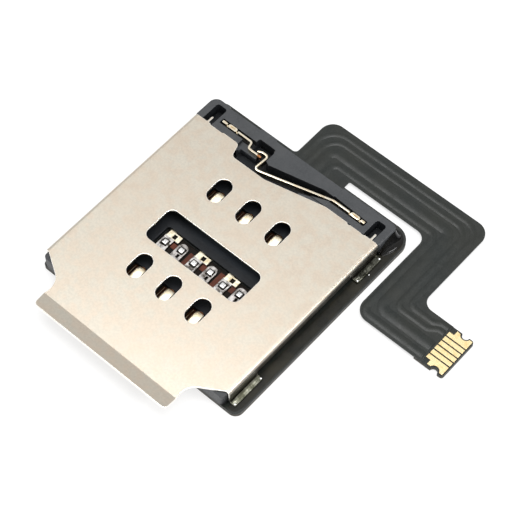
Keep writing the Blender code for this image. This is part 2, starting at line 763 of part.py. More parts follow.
def tongue_profile(y):
    """The (y, z) middle line of a tongue, from its root over the dome to its tip."""
    tip_y = y + TONGUE_TIP_REACH
    root_y = tip_y - TONGUE_LENGTH
    root_z = floor_bottom + CONTACT_THICKNESS / 2
    dome_z = floor_top + DOME_HEIGHT - CONTACT_THICKNESS / 2
    dome_y = y - DOME_SETBACK
    steps = 9
    profile = [(root_y - ROOT_PAD_LENGTH, root_z)]
    for i in range(steps + 1):
        share = i / steps
        lift = sin(share * pi / 2) ** 1.15
        profile.append((root_y + (dome_y - root_y) * share, root_z + (dome_z - root_z) * lift))
    curl_steps = 4
    for i in range(1, curl_steps + 1):
        share = i / curl_steps
        profile.append((dome_y + (tip_y - dome_y) * share, dome_z - DOME_DROP * share ** 2))
    return profile


def tongue_half_width(place_y, tip_y):
    """Half the tongue's width, with a round tip."""
    half = TONGUE_WIDTH / 2
    back = tip_y - place_y
    if back >= half:
        return half
    return max(0.30 * half, (half ** 2 - (half - back) ** 2) ** 0.5)


def make_tongue(name, x, y, finish):
    """One springy tongue: a strip swept along its profile, with its origin at the root."""
    profile = tongue_profile(y)
    tip_y = y + TONGUE_TIP_REACH
    bm = bmesh.new()
    rings = []
    for i, (place_y, z) in enumerate(profile):
        before = Vector(profile[max(i - 1, 0)])
        after = Vector(profile[min(i + 1, len(profile) - 1)])
        along = (after - before).normalized()
        up = Vector((-along.y, along.x)) * (CONTACT_THICKNESS / 2)
        half = tongue_half_width(place_y, tip_y)
        ring = []
        for side, sign in ((-1, -1), (1, -1), (1, 1), (-1, 1)):
            ring.append(bm.verts.new((x + side * half, place_y + sign * up.x, z + sign * up.y)))
        rings.append(ring)
    for low, high in zip(rings, rings[1:]):
        for i in range(4):
            bm.faces.new((low[i - 1], low[i], high[i], high[i - 1]))
    bm.faces.new(rings[0])
    bm.faces.new(rings[-1])
    tongue = new_object(name, bm, finish)
    move_origin(tongue, (x, tip_y - TONGUE_LENGTH, floor_bottom + CONTACT_THICKNESS / 2))


def rear_lead_path(x, y):
    """A rear contact's lead: from its root forward into the solder window."""
    root = y + TONGUE_TIP_REACH - TONGUE_LENGTH - ROOT_PAD_LENGTH - FIT_GAP
    lane = x + REAR_TAIL_OFFSET
    return rounded_path([
        (x, root, 0.0),
        (x, root - LEAD_JOG_START, lead_bend_radius),
        (lane, root - LEAD_JOG_END, lead_bend_radius),
        (lane, REAR_TAIL_END, 0.0),
    ])


def front_lead_path(x, y):
    """A front contact's lead: sideways along its root, then back into the solder window."""
    root = y + TONGUE_TIP_REACH - TONGUE_LENGTH - ROOT_PAD_LENGTH - FIT_GAP
    lane = x + FRONT_TAIL_OFFSET
    pad_y = root - LEAD_WIDTH / 2
    return rounded_path([
        (x - TONGUE_WIDTH / 2, pad_y, 0.0),
        (lane, pad_y, lead_bend_radius),
        (lane, FRONT_TAIL_END, 0.0),
    ])


def contact_layout():
    """Each contact's number, place and lead path, in rows from the rear."""
    layout = []
    for y in contact_rows:
        for x in contact_columns:
            path = rear_lead_path(x, y) if y > 0 else front_lead_path(x, y)
            layout.append((len(layout) + 1, x, y, path))
    return layout


def make_lead(number, y, path, gold):
    """A lead strip that ends in the solder window, in a notched lug or in a round eye."""
    bottom = floor_bottom
    top = floor_bottom + CONTACT_THICKNESS
    lead = prism(f"contact_lead_{number}", band(path, LEAD_WIDTH), bottom, top, finish=gold)
    lane, end = path[-1]
    if y > 0:
        front = LUG_REAR - LUG_LENGTH
        notch = lane + LEAD_WIDTH / 2
        add(lead, f"lead_lug_{number}", rectangle(lane, lane + LUG_REACH, front, LUG_REAR), bottom, top)
        cut(lead, f"lug_notch_{number}",
            rectangle(notch, notch + LUG_NOTCH_WIDTH, front - OVERCUT, front + LUG_NOTCH_DEPTH),
            bottom - OVERCUT, top + OVERCUT)
    else:
        eye = obround(lane, end - EYE_LENGTH / 2, EYE_WIDTH, EYE_LENGTH)
        add(lead, f"lead_eye_{number}", eye, bottom, top)


def make_contacts(gold, layout):
    for number, x, y, path in layout:
        make_tongue(f"contact_{number}", x, y, gold)
        make_lead(number, y, path, gold)


def make_tail_solder(solder, layout):
    """A low pillow of solder on each tail, where it ends in the window."""
    bottom = floor_bottom + CONTACT_THICKNESS + FIT_GAP
    for number, x, y, path in layout:
        end_x, end_y = path[-1]
        middle_x = end_x + (REAR_SOLDER_SHIFT if y > 0 else 0.0)
        middle_y = end_y + (SOLDER_SETBACK if y > 0 else -SOLDER_SETBACK)
        half = SOLDER_SIZE / 2
        outline = rectangle(middle_x - half, middle_x + half, middle_y - half, middle_y + half, half / 3)
        prism(f"tail_solder_{number}", outline, bottom, bottom + SOLDER_HEIGHT, finish=solder)


# Flex circuit

def film_outline():
    """The whole die-cut film, counter-clockwise from the base's front left corner."""
    tail_rear = housing_rear + TAIL_REACH
    root_right = TAIL_LEFT + TAIL_ROOT_WIDTH
    inner_rear = tail_rear - TAIL_TOP_WIDTH
    notch_x = tail_end_right - END_NOTCH_SETBACK
    outer = TAIL_CORNER_RADIUS
    front_notch = arc(notch_x, tail_end_front, END_NOTCH_RADIUS, pi, 0.0)
    rear_notch = arc(notch_x, TAIL_END_REAR, END_NOTCH_RADIUS, 0.0, -pi)
    return rounded([
        (base_left, base_front, BASE_LEFT_RADIUS),
        (base_right, base_front, BASE_FRONT_RADIUS),
        (base_right, base_rear, BASE_REAR_RADIUS),
        (root_right, base_rear, TAIL_SLIT_RADIUS),
        (root_right, inner_rear, TAIL_SLIT_RADIUS),
        (tail_side_left, inner_rear, TAIL_INNER_RADIUS),
        (tail_side_left, tail_end_front, outer),
        *[(x, y, 0.0) for x, y in front_notch],
        (tail_end_right, tail_end_front, TAIL_END_RADIUS),
        (tail_end_right, TAIL_END_REAR, TAIL_END_RADIUS),
        *[(x, y, 0.0) for x, y in rear_notch],
        (tail_side_right, TAIL_END_REAR, TAIL_INNER_RADIUS),
        (tail_side_right, tail_rear, outer),
        (TAIL_LEFT, tail_rear, outer),
        (TAIL_LEFT, base_rear, TAIL_ROOT_RADIUS),
        (base_left, base_rear, HOUSING_CORNER_RADIUS),
    ])


def make_flex_circuit(finish):
    film = prism("flex_circuit", film_outline(), film_bottom, film_top, finish=finish)
    above = film_top + OVERCUT
    cut(film, "bare_finger_end",
        rectangle(coverlay_end, tail_end_right + OVERCUT, tail_end_front - OVERCUT, TAIL_END_REAR + OVERCUT),
        bare_film_top, above)
    margin = BARE_WINDOW_MARGIN
    cut(film, "bare_solder_window",
        rectangle(window_left + margin, window_right - margin, window_front + margin,
                  FLOOR_WINDOW_REAR - margin),
        bare_film_top, above)
    return film


def make_stiffeners(finish):
    socket = rounded([
        (base_left, base_front, BASE_LEFT_RADIUS),
        (base_right, base_front, BASE_FRONT_RADIUS),
        (base_right, base_rear, BASE_REAR_RADIUS),
        (base_left, base_rear, HOUSING_CORNER_RADIUS),
    ])
    prism("socket_stiffener", socket, 0.0, stiffener_top, finish=finish)
    notch_x = tail_end_right - END_NOTCH_SETBACK
    finger_end = rounded([
        (coverlay_end - BACKING_OVERLAP, tail_end_front, 0.0),
        *[(x, y, 0.0) for x, y in arc(notch_x, tail_end_front, END_NOTCH_RADIUS, pi, 0.0)],
        (tail_end_right, tail_end_front, TAIL_END_RADIUS),
        (tail_end_right, TAIL_END_REAR, TAIL_END_RADIUS),
        *[(x, y, 0.0) for x, y in arc(notch_x, TAIL_END_REAR, END_NOTCH_RADIUS, 0.0, -pi)],
        (coverlay_end - BACKING_OVERLAP, TAIL_END_REAR, 0.0),
    ])
    prism("finger_stiffener", finger_end, 0.0, stiffener_top, finish=finish)


def outer_finger(side, middle):
    """The outline of an outer finger, hooked round its side notch. side is 1 at the rear."""
    inner = middle + side * (FINGER_PITCH * 2 + FINGER_SPACE / 2)
    near = inner + side * (FINGER_PITCH - FINGER_SPACE)
    notch_x = tail_end_right - END_NOTCH_SETBACK
    notch_y = TAIL_END_REAR if side > 0 else tail_end_front
    outer = notch_y - side * FINGER_NOTCH_MARGIN
    reach = END_NOTCH_RADIUS + FINGER_NOTCH_MARGIN
    left = coverlay_end + FIT_GAP
    right = tail_end_right - FINGER_END_MARGIN
    sweep = arc(notch_x, notch_y, reach, -side * 0.12 * pi, -side * 0.88 * pi)
    return [
        (left, inner),
        (right, inner),
        (right, outer),
        (notch_x + reach, outer),
        *sweep,
        (notch_x - reach - FINGER_HOOK_WIDTH, outer),
        (notch_x - reach - FINGER_HOOK_WIDTH, near),
        (left, near),
    ]


def make_gold_fingers(gold):
    middle = (tail_end_front + TAIL_END_REAR) / 2
    bottom = bare_film_top + FIT_GAP
    top = bottom + FINGER_THICKNESS
    left = coverlay_end + FIT_GAP
    right = tail_end_right - FINGER_END_MARGIN
    half = (FINGER_PITCH - FINGER_SPACE) / 2
    for number in range(1, FINGER_COUNT + 1):
        y = middle + (number - (FINGER_COUNT + 1) / 2) * FINGER_PITCH
        outline = rectangle(left, right, y - half, y + half)
        if number == 1:
            outline = outer_finger(-1, middle)
        if number == FINGER_COUNT:
            outline = outer_finger(1, middle)
        prism(f"gold_finger_{number}", outline, bottom, top, finish=gold)


# Solder fillets and sealant

def fillet_bead(name, path, width, height, bottom, finish):
    """A bead with a concave triangular section, laid to the right of a path along a wall."""
    section = [(0.0, height), (0.35 * width, 0.38 * height), (width, 0.06 * height), (width, 0.0), (0.0, 0.0)]
    bm = bmesh.new()
    rings = []
    for i, point in enumerate(path):
        here = Vector(point)
        before = Vector(path[max(i - 1, 0)])
        after = Vector(path[min(i + 1, len(path) - 1)])
        along = (after - before).normalized()
        out = Vector((along.y, -along.x))
        rings.append([bm.verts.new((*(here + out * w), bottom + h)) for w, h in section])
    for low, high in zip(rings, rings[1:]):
        for i in range(len(section)):
            bm.faces.new((low[i - 1], low[i], high[i], high[i - 1]))
    bm.faces.new(rings[0])
    bm.faces.new(rings[-1])
    return new_object(name, bm, finish)


def make_foot_solder(solder):
    wall = cover_half + FOOT_BEND_RADIUS + FIT_GAP
    bottom = floor_bottom + SHEET_THICKNESS + FIT_GAP
    for name, (low, high) in zip(("foot_solder_front", "foot_solder_rear"), foot_spans()):
        path = [(wall, low), (wall, (low + high) / 2), (wall, high)]
        fillet_bead(name, path, FOOT_REACH - FOOT_BEND_RADIUS - FIT_GAP, FOOT_SOLDER_HEIGHT, bottom, solder)


def make_corner_sealant(finish):
    """The bead round the housing's rear right corner."""
    wall = cover_half + HOUSING_RIGHT_BULGE + FIT_GAP
    rear = housing_rear + REAR_STEP_HEIGHT + FIT_GAP
    radius = RIGHT_BLOCK_RADIUS + FIT_GAP
    path = [(wall, COVER_REAR + SEALANT_START)]
    path += arc(wall - radius, rear - radius, radius, 0.0, pi / 2)
    path += [(wall - radius - SEALANT_RUN, rear)]
    fillet_bead("corner_sealant", path, SEALANT_WIDTH, SEALANT_HEIGHT, floor_bottom, finish)


def build():
    clear_scene()
    steel = material("satin_steel", (0.70, 0.66, 0.58), 0.34, 1.0)
    plastic = material("housing_plastic", (0.045, 0.047, 0.053), 0.55, 0.0)
    gold = material("contact_gold", (0.90, 0.72, 0.36), 0.25, 1.0)
    solder = material("solder", (0.72, 0.72, 0.70), 0.30, 1.0)
    film = material("flex_film", (0.035, 0.038, 0.036), 0.45, 0.0)
    board = material("stiffener", (0.06, 0.05, 0.035), 0.60, 0.0)
    sealant = material("sealant", (0.01, 0.01, 0.011), 0.12, 0.0)

    layout = contact_layout()
    grooves = [(x, y, band(path, LEAD_WIDTH + 2 * FIT_GAP)) for number, x, y, path in layout]
    make_cover_shell(steel)
    make_housing(plastic, grooves)
    make_contacts(gold, layout)
    make_tail_solder(solder, layout)
    make_detect_switch(gold)
    make_flex_circuit(film)
    make_stiffeners(board)
    make_gold_fingers(gold)
    make_foot_solder(solder)
    make_corner_sealant(sealant)


build()
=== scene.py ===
"""The looks of a SIM card socket on its flex circuit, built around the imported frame.

Places and sizes are in millimetres and are turned into metres where meshes are made. Only the
camera and the lamps are placed in metres.
"""

from math import acos, atan2, ceil, cos, pi, radians, sin, tan

import bmesh
import bpy
from mathutils import Matrix, Vector
from mathutils.geometry import delaunay_2d_cdt


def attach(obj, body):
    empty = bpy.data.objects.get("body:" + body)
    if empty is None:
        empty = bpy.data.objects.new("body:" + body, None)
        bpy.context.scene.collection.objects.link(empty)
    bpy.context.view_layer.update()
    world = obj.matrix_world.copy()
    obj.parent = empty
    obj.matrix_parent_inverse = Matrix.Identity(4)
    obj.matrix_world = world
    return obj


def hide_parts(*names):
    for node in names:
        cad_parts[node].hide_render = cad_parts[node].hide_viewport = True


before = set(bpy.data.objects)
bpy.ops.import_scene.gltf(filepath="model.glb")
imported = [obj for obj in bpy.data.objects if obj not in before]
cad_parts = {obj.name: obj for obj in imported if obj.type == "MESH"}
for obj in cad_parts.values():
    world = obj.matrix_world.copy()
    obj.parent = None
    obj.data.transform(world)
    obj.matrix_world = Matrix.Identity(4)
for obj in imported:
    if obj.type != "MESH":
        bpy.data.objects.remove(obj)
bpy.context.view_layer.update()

MM = 0.001
FIT_GAP = 0.02
ARC_STEP = radians(7.5)
OVERCUT = 0.5
SHEET = 0.15
STRIP = 0.10

# Levels, from the bottom up
STIFFENER_TOP = 0.20
FILM_BOTTOM = 0.22
BARE_FILM_TOP = 0.33
FILM_TOP = 0.37
FLOOR_BOTTOM = 0.39
TRACK_TOP = FILM_TOP + 0.034
LEAD_TOP = FLOOR_BOTTOM + STRIP
FOOT_TOP = FLOOR_BOTTOM + SHEET
FLOOR_TOP = 0.67
LEAF_BOTTOM = 1.09
LEDGE_TOP = 1.28
COVER_UNDER = 1.52
STEP_TOP = 1.57
LEAF_TOP = 1.59
HOUSING_TOP = 1.62
COVER_TOP = 1.67

# Contacts in plan
PITCH = 2.54
ROW_HALF = 3.81
COLUMNS = (-PITCH, 0.0, PITCH)
TIP_REACH = 0.34
TONGUE_LENGTH = 2.78
TONGUE_HALF = 0.30
ROOT_REACH = 2.56

# Cover and housing in plan
COVER_HALF = 8.0
COVER_REAR = 7.45
COVER_BEND = 0.28
WALL_DROP = 0.78
SIDE_FRONT = -6.90
LIP_BEND_Y = -9.25
TAB_REAR = COVER_REAR + 0.50
FOOT_SPANS = ((SIDE_FRONT, -4.30), (4.90, 7.30))
WALL_INSIDE = 7.6
HOUSING_FRONT = -7.35
HOUSING_REAR = 9.27
BLOCK_LEFT = -8.0
BLOCK_RIGHT = 8.05
BLOCK_REAR = 9.42
SHOULDER = COVER_REAR + FIT_GAP
STEP_LEFT = 3.42
SWITCH_LINE = 8.19
LEAF_WIDTH = 0.14
HOOK_RIGHT = -1.89
FIXED_END = -3.34

# Film in plan
BASE_LEFT = -8.0
BASE_RIGHT = 8.92
BASE_REAR = 10.08
TAIL_LEFT = -1.33
TAIL_REAR = 13.77
TAIL_END = 16.72
END_FRONT = 3.22
END_REAR = 6.52
FINGER_LEFT = 15.04
FINGER_SPAN = (FINGER_LEFT + 0.02, TAIL_END - 0.08)
FINGER_PITCH = 0.41
FINGER_MARGIN = 0.10
NOTCH_X = 16.04
NOTCH_RADIUS = 0.27
NOTCH_STEP = radians(15.0)


# Outlines and solids

def arc(center_x, center_y, radius, start, end, step=ARC_STEP):
    """Points on an arc from the start angle to the end angle, both included."""
    steps = max(2, ceil(abs(end - start) / step))
    angles = [start + (end - start) * i / steps for i in range(steps + 1)]
    return [(center_x + radius * cos(a), center_y + radius * sin(a)) for a in angles]


def rounded(corners):
    """A closed outline from (x, y, radius) corners, each rounded by its own radius."""
    points = []
    for i, (x, y, radius) in enumerate(corners):
        corner = Vector((x, y))
        before = Vector(corners[i - 1][:2]) - corner
        after = Vector(corners[(i + 1) % len(corners)][:2]) - corner
        if radius <= 0.0:
            points.append((x, y))
            continue
        to_before = before.normalized()
        to_after = after.normalized()
        half_angle = acos(max(-1.0, min(1.0, to_before.dot(to_after)))) / 2
        reach = min(radius / tan(half_angle), 0.49 * before.length, 0.49 * after.length)
        radius = reach * tan(half_angle)
        center = corner + (to_before + to_after).normalized() * (radius / sin(half_angle))
        start = corner + to_before * reach - center
        end = corner + to_after * reach - center
        first = atan2(start.y, start.x)
        turn = (atan2(end.y, end.x) - first + pi) % (2 * pi) - pi
        points.extend(arc(center.x, center.y, radius, first, first + turn))
    return points


def rounded_path(corners):
    """An open path from (x, y, radius) corners, with its inner corners rounded."""
    first, *middle, last = corners
    return rounded([(*first[:2], 0.0), *middle, (*last[:2], 0.0)])


def rectangle(left, right, front, rear, radius=0.0):
    corners = [(left, front), (right, front), (right, rear), (left, rear)]
    return rounded([(x, y, radius) for x, y in corners])


def around(x, y, half_width, half_length, radius=0.0):
    return rectangle(x - half_width, x + half_width, y - half_length, y + half_length, radius)


def obround(x, y, width, length):
    """A slot outline with round ends."""
    radius = min(width, length) / 2
    reach = max(width, length) / 2 - radius
    if width > length:
        return arc(x + reach, y, radius, -pi / 2, pi / 2) + arc(x - reach, y, radius, pi / 2, 3 * pi / 2)
    return arc(x, y + reach, radius, 0.0, pi) + arc(x, y - reach, radius, pi, 2 * pi)


def turns_left(loop):
    """Whether an outline runs counter-clockwise."""
    return sum(loop[i - 1][0] * loop[i][1] - loop[i][0] * loop[i - 1][1] for i in range(len(loop))) > 0.0


def fill(loops):
    """Triangles over an outline with holes, as indices into the loops laid end to end."""
    points = []
    rings = []
    for loop in loops:
        ring = list(range(len(points), len(points) + len(loop)))
        rings.append(ring if turns_left(loop) else ring[::-1])
        points += [Vector(point) for point in loop]
    edges = [(ring[i - 1], ring[i]) for ring in rings for i in range(len(ring))]
    result = delaunay_2d_cdt(points, edges, rings, 1, 1e-6)
    inside = [triangle for triangle, owners in zip(result[2], result[5]) if owners == [0]]
    return [[result[3][i][0] for i in triangle] for triangle in inside]


def add_object(name, data):
    item = bpy.data.objects.new(name, data)
    bpy.context.scene.collection.objects.link(item)
    return item


def linked(name, bm):
    """Turns a bmesh in millimetres into an object in metres, with its faces turned outward."""
    bmesh.ops.recalc_face_normals(bm, faces=bm.faces)
    top = max(bm.faces, key=lambda face: face.calc_center_median().z)
    if top.normal.z < 0.0:
        bmesh.ops.reverse_faces(bm, faces=bm.faces)
    bmesh.ops.scale(bm, vec=(MM, MM, MM), verts=bm.verts)
    mesh = bpy.data.meshes.new(name)
    bm.to_mesh(mesh)
    bm.free()
    return add_object(name, mesh)


def prism(name, outline, bottom, top):
    """An upright closed prism."""
    bm = bmesh.new()
    low = [bm.verts.new((x, y, bottom)) for x, y in outline]
    high = [bm.verts.new((x, y, top)) for x, y in outline]
    for a, b, c in fill([outline]):
        bm.faces.new((low[a], low[b], low[c]))
        bm.faces.new((high[c], high[b], high[a]))
    for i in range(len(low)):
        bm.faces.new((low[i - 1], low[i], high[i], high[i - 1]))
    return linked(name, bm)


def mitred(path):
    """Each point of an open path, with the unit vector to its left and the cosine of its mitre."""
    for i, point in enumerate(path):
        here = Vector(point)
        before = (here - Vector(path[i - 1])).normalized() if i > 0 else None
        after = (Vector(path[i + 1]) - here).normalized() if i < len(path) - 1 else None
        along = (before + after).normalized() if before and after else (before or after)
        left = Vector((-along.y, along.x))
        mitre = left.dot(Vector((-after.y, after.x))) if after else 1.0
        yield here, left, max(mitre, 0.5)


def direction(path, i):
    """The direction of a path at one of its points, taken between the points beside it."""
    return (Vector(path[min(i + 1, len(path) - 1)]) - Vector(path[max(i - 1, 0)])).normalized()


def band(path, width):
    """The closed outline of a strip of even width along an open path."""
    left_side = []
    right_side = []
    for here, left, mitre in mitred(path):
        offset = left * (width / 2 / mitre)
        left_side.append(tuple(here + offset))
        right_side.append(tuple(here - offset))
    return left_side + right_side[::-1]


def join_rings(bm, rings):
    """Faces between neighbouring rings of vertices, and one over each end."""
    for low, high in zip(rings, rings[1:]):
        for i in range(len(low)):
            bm.faces.new((low[i - 1], low[i], high[i], high[i - 1]))
    bm.faces.new(rings[0])
    bm.faces.new(rings[-1])


def ring_solid(name, rings):
    """A solid through rings of (x, y, z) points."""
    bm = bmesh.new()
    join_rings(bm, [[bm.verts.new(point) for point in ring] for ring in rings])
    return linked(name, bm)


def sweep(name, path, section):
    """A solid along an open path in plan. The section holds (reach to the right, height) points."""
    rings = [[(*(here - left * (reach * (1.0 / mitre))), height) for reach, height in section]
             for here, left, mitre in mitred(path)]
    return ring_solid(name, rings)


def configure(owner, **values):
    """Sets values of a modifier, node, lamp or camera."""
    for name, value in values.items():
        setattr(owner, name, value)
    return owner


def modify(item, kind, **values):
    configure(item.modifiers.new(kind, kind), **values)


def bake(item):
    """Replaces an object's mesh by its evaluated one, so that no modifier or tool stays."""
    graph = bpy.context.evaluated_depsgraph_get()
    mesh = bpy.data.meshes.new_from_object(item.evaluated_get(graph), preserve_all_data_layers=True,
                                           depsgraph=graph)
    item.modifiers.clear()
    item.data = mesh


def combine(target, tools, operation):
    """Applies Booleans one after another and removes their tools."""
    for tool in tools:
        modify(target, "BOOLEAN", operation=operation, solver="EXACT", object=tool)
    bake(target)
    for tool in tools:
        bpy.data.objects.remove(tool, do_unlink=True)


SHARP_ANGLE = radians(32.0)
LEVEL_TOLERANCE = 0.005
LEVEL_NORMAL = 0.9995


def soften(item, width, segments=2, rim=-1, above=-1.0, crisp=-1.0):
    """Merges flat faces, rounds the sharp edges and shades the piece smooth.

    Edges that reach down to the level above, or lie at the level crisp, stay sharp.
    """
    bm = bmesh.new()
    bm.from_mesh(item.data)
    bmesh.ops.remove_doubles(bm, verts=bm.verts, dist=1e-7)
    bmesh.ops.dissolve_limit(bm, angle_limit=radians(0.5), verts=bm.verts, edges=bm.edges,
                             delimit={"MATERIAL"})
    weight = bm.edges.layers.float.new("bevel_weight_edge")
    for line in bm.edges:
        sharp = len(line.link_faces) == 2 and line.calc_face_angle(0.0) > SHARP_ANGLE
        low, high = sorted(vert.co.z / MM for vert in line.verts)
        kept = low <= above or max(abs(low - crisp), abs(high - crisp)) <= LEVEL_TOLERANCE
        line[weight] = 1.0 if sharp and not kept else 0.0
    bm.to_mesh(item.data)
    bm.free()
    item.data.shade_smooth()
    modify(item, "BEVEL", width=width * MM, segments=segments, limit_method="WEIGHT",
           use_clamp_overlap=False, loop_slide=False, miter_outer="MITER_ARC", material=rim)
    modify(item, "WEIGHTED_NORMAL", keep_sharp=True)
    bake(item)
    shading = [corner.vector.copy() for corner in item.data.corner_normals]
    for face in item.data.polygons:
        if abs(face.normal.z) > LEVEL_NORMAL:
            for corner in face.loop_indices:
                shading[corner] = face.normal
    item.data.normals_split_custom_set(shading)


def smooth(item, degrees):
    item.data.shade_smooth()
    item.data.set_sharp_from_angle(angle=radians(degrees))
    return item


def place(item, slot, finish=None, replaces=(), body="socket"):
    """Gives a piece its finish, the body that it moves with and the nodes that it stands for."""
    if finish is not None:
        item.data.materials.clear()
        item.data.materials.append(finish)
    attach(item, body)
    if replaces:
        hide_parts(*replaces)


def slab(name, outline, bottom, top, edge, slot, finish, replaces=(), segments=2):
    """A flat fixed piece with rounded edges and one finish."""
    item = prism(name, outline, bottom, top)
    soften(item, edge, segments)
    place(item, slot, finish, replaces)


def paint(item, finishes, choose):
    """Gives each face one of the finishes, by its middle in millimetres and its normal."""
    for finish in finishes:
        item.data.materials.append(finish)
    for face in item.data.polygons:
        face.material_index = int(choose(*(face.center / MM), face.normal))


# Materials

def set_inputs(node, values):
    """Sets inputs of a shader node by name, with spaces written as _."""
    for name, value in values.items():
        node.inputs[name.replace("_", " ")].default_value = value


def add_node(tree, kind, **values):
    node = tree.nodes.new(f"ShaderNode{kind}")
    set_inputs(node, values)
    return node


class Nodes:
    """Short ways to add shader nodes to one material."""

    def __init__(self, name):
        self.material = bpy.data.materials.new(name)
        self.material.use_nodes = True
        self.tree = self.material.node_tree
        self.shader = self.tree.nodes["Principled BSDF"]
        self.place = add_node(self.tree, "TexCoord").outputs["Object"]

    def link(self, source, target):
        self.tree.links.new(source, target)

    def add(self, kind, source, entry, result, **values):
        """Adds a node fed by one source and gives the output asked for."""
        node = add_node(self.tree, kind, **values)
        self.link(source, node.inputs[entry])
        return node.outputs[result] if result else node.outputs

    def stretched(self, *scale):
        return self.add("Mapping", self.place, "Vector", "Vector", Scale=scale)

    def axes(self):
        return self.add("SeparateXYZ", self.place, "Vector", None)

    def noise(self, per_mm, detail, rough, vector=None):
        return self.add("TexNoise", vector or self.place, "Vector", "Fac",
                        Scale=per_mm / MM, Detail=detail, Roughness=rough)

    def cells(self, per_mm, randomness=1.0):
        return self.add("TexVoronoi", self.place, "Vector", "Distance",
                        Scale=per_mm / MM, Randomness=randomness)

    def ramp(self, source, *stops):
        node = add_node(self.tree, "ValToRGB")
        for element, (place, color) in zip(node.color_ramp.elements, stops):
            element.position = place
            element.color = (*color, 1.0)
        self.link(source, node.inputs["Fac"])
        return node.outputs["Color"]

    def spread(self, source, low, high, start=0.35, end=0.65):
        """A number that follows the source between two limits."""
        return self.add("MapRange", source, "Value", "Result",
                        From_Min=start, From_Max=end, To_Min=low, To_Max=high)

    def mix(self, amount, first, second):
        node = configure(add_node(self.tree, "Mix"), data_type="RGBA")
        for index, value in ((0, amount), (6, first), (7, second)):
            if isinstance(value, bpy.types.NodeSocket):
                self.link(value, node.inputs[index])
            else:
                node.inputs[index].default_value = value if index == 0 else (*value, 1.0)
        return node.outputs[2]

    def finish(self, color, roughness, bumps, **values):
        """Feeds the shader a colour, a roughness and (source, strength, height in mm) bumps."""
        self.link(color, self.shader.inputs["Base Color"])
        self.link(roughness, self.shader.inputs["Roughness"])
        normal = None
        for source, strength, height in bumps:
            node = add_node(self.tree, "Bump", Strength=strength, Distance=height * MM)
            self.link(source, node.inputs["Height"])
            if normal is not None:
                self.link(normal, node.inputs["Normal"])
            normal = node.outputs["Normal"]
        self.link(normal, self.shader.inputs["Normal"])
        set_inputs(self.shader, values)
        return self.material


def steel_finish(name, base, grain, rough_low, rough_high, bump):
    """Nickel-plated sheet with a soft mottled grain and faint rolling lines."""
    n = Nodes(name)
    fine = n.noise(7.0, 2.0, 0.5)
    blotch = n.noise(1.6, 2.0, 0.5)
    broad = n.noise(0.35, 2.0, 0.5)
    lines = n.noise(4.0, 1.0, 0.5, n.stretched(1.0, 0.06, 1.0))
    low = tuple(c * (1.0 - grain) for c in base)
    high = tuple(min(1.0, c * (1.0 + grain)) for c in base)
    warm = tuple(c * k for c, k in zip(base, (1.045, 0.985, 0.945)))
    cool = tuple(c * k for c, k in zip(base, (0.960, 1.010, 1.035)))
    tint = n.mix(n.spread(blotch, 0.0, 1.0, 0.40, 0.60), warm, cool)
    tint = n.mix(0.5, tint, n.ramp(fine, (0.36, low), (0.64, high)))
    color = n.mix(n.spread(broad, 0.0, 0.30), tint, warm)
    return n.finish(color, n.spread(blotch, rough_low, rough_high),
                    [(fine, bump, 0.004), (lines, bump * 0.5, 0.003)], Metallic=1.0)


def plastic_finish(name, low, high, worn, level, painted_light=None):
    """Matt black glass-filled plastic with fibre specks.

    Where a colour for painted light is given, the floor behind the solder tails takes that paler colour, a
    painted pool of light from the solder window.
    """
    n = Nodes(name)
    grain = n.noise(9.0, 4.0, 0.6)
    broad = n.noise(0.9, 3.0, 0.55)
    specks = n.cells(7.0)
    body = n.mix(n.spread(broad, 0.0, 0.7), n.ramp(grain, (0.32, low), (0.68, high)), worn)
    # Painted light: a paler patch on the floor behind the solder tails, faded out by place.
    if painted_light:
        axes = n.axes()
        behind = n.mix(n.spread(axes["Y"], 1.0, 0.0, 1.9 * MM, 2.3 * MM), body, painted_light)
        inside = n.mix(n.spread(axes["Y"], 0.0, 1.0, 0.45 * MM, 1.0 * MM), body, behind)
        body = n.mix(n.spread(axes["X"], 0.0, 1.0, -3.2 * MM, -1.0 * MM), body, inside)
    speck = tuple(c * 1.7 for c in worn)
    color = n.mix(n.spread(specks, 0.35, 0.0, 0.02, 0.18), body, speck)
    return n.finish(color, n.spread(grain, 0.38, 0.54),
                    [(grain, 0.25, 0.006), (specks, 0.10, 0.004)], Specular_IOR_Level=level)


def gold_finish(name, pale, deep, rough_low, rough_high):
    """Gold plating with soft tarnish and draw lines."""
    n = Nodes(name)
    patch = n.noise(2.6, 4.0, 0.6)
    lines = n.noise(30.0, 2.0, 0.5, n.stretched(1.0, 0.10, 1.0))
    color = n.ramp(patch, (0.34, deep), (0.60, pale))
    return n.finish(color, n.spread(patch, rough_high, rough_low),
                    [(lines, 0.08, 0.003), (patch, 0.08, 0.006)], Metallic=1.0)


def lug_finish():
    """Dull silver plating that turns to gold on the lugs at the rear of the solder window."""
    n = Nodes("lug_plating")
    patch = n.noise(2.6, 4.0, 0.6)
    rear = n.spread(n.axes()["Y"], 0.0, 1.0, -0.50 * MM, -0.45 * MM)
    dull = n.ramp(patch, (0.40, (0.09, 0.08, 0.07)), (0.56, (0.60, 0.58, 0.56)))
    gold = n.ramp(patch, (0.34, (0.62, 0.52, 0.34)), (0.60, (0.98, 0.92, 0.74)))
    color = n.mix(rear, dull, gold)
    return n.finish(color, n.spread(patch, 0.38, 0.29), [(patch, 0.08, 0.006)], Metallic=1.0)


def solder_finish(name, pale, dull, rough_low, rough_high):
    """Solder with a faint crystal pattern and dull flux stains."""
    n = Nodes(name)
    crystals = n.cells(9.0)
    flow = n.noise(2.4, 4.0, 0.6)
    color = n.ramp(flow, (0.40, dull), (0.64, pale))
    return n.finish(color, n.spread(flow, rough_high, rough_low),
                    [(flow, 0.25, 0.02), (crystals, 0.10, 0.004)], Metallic=1.0)


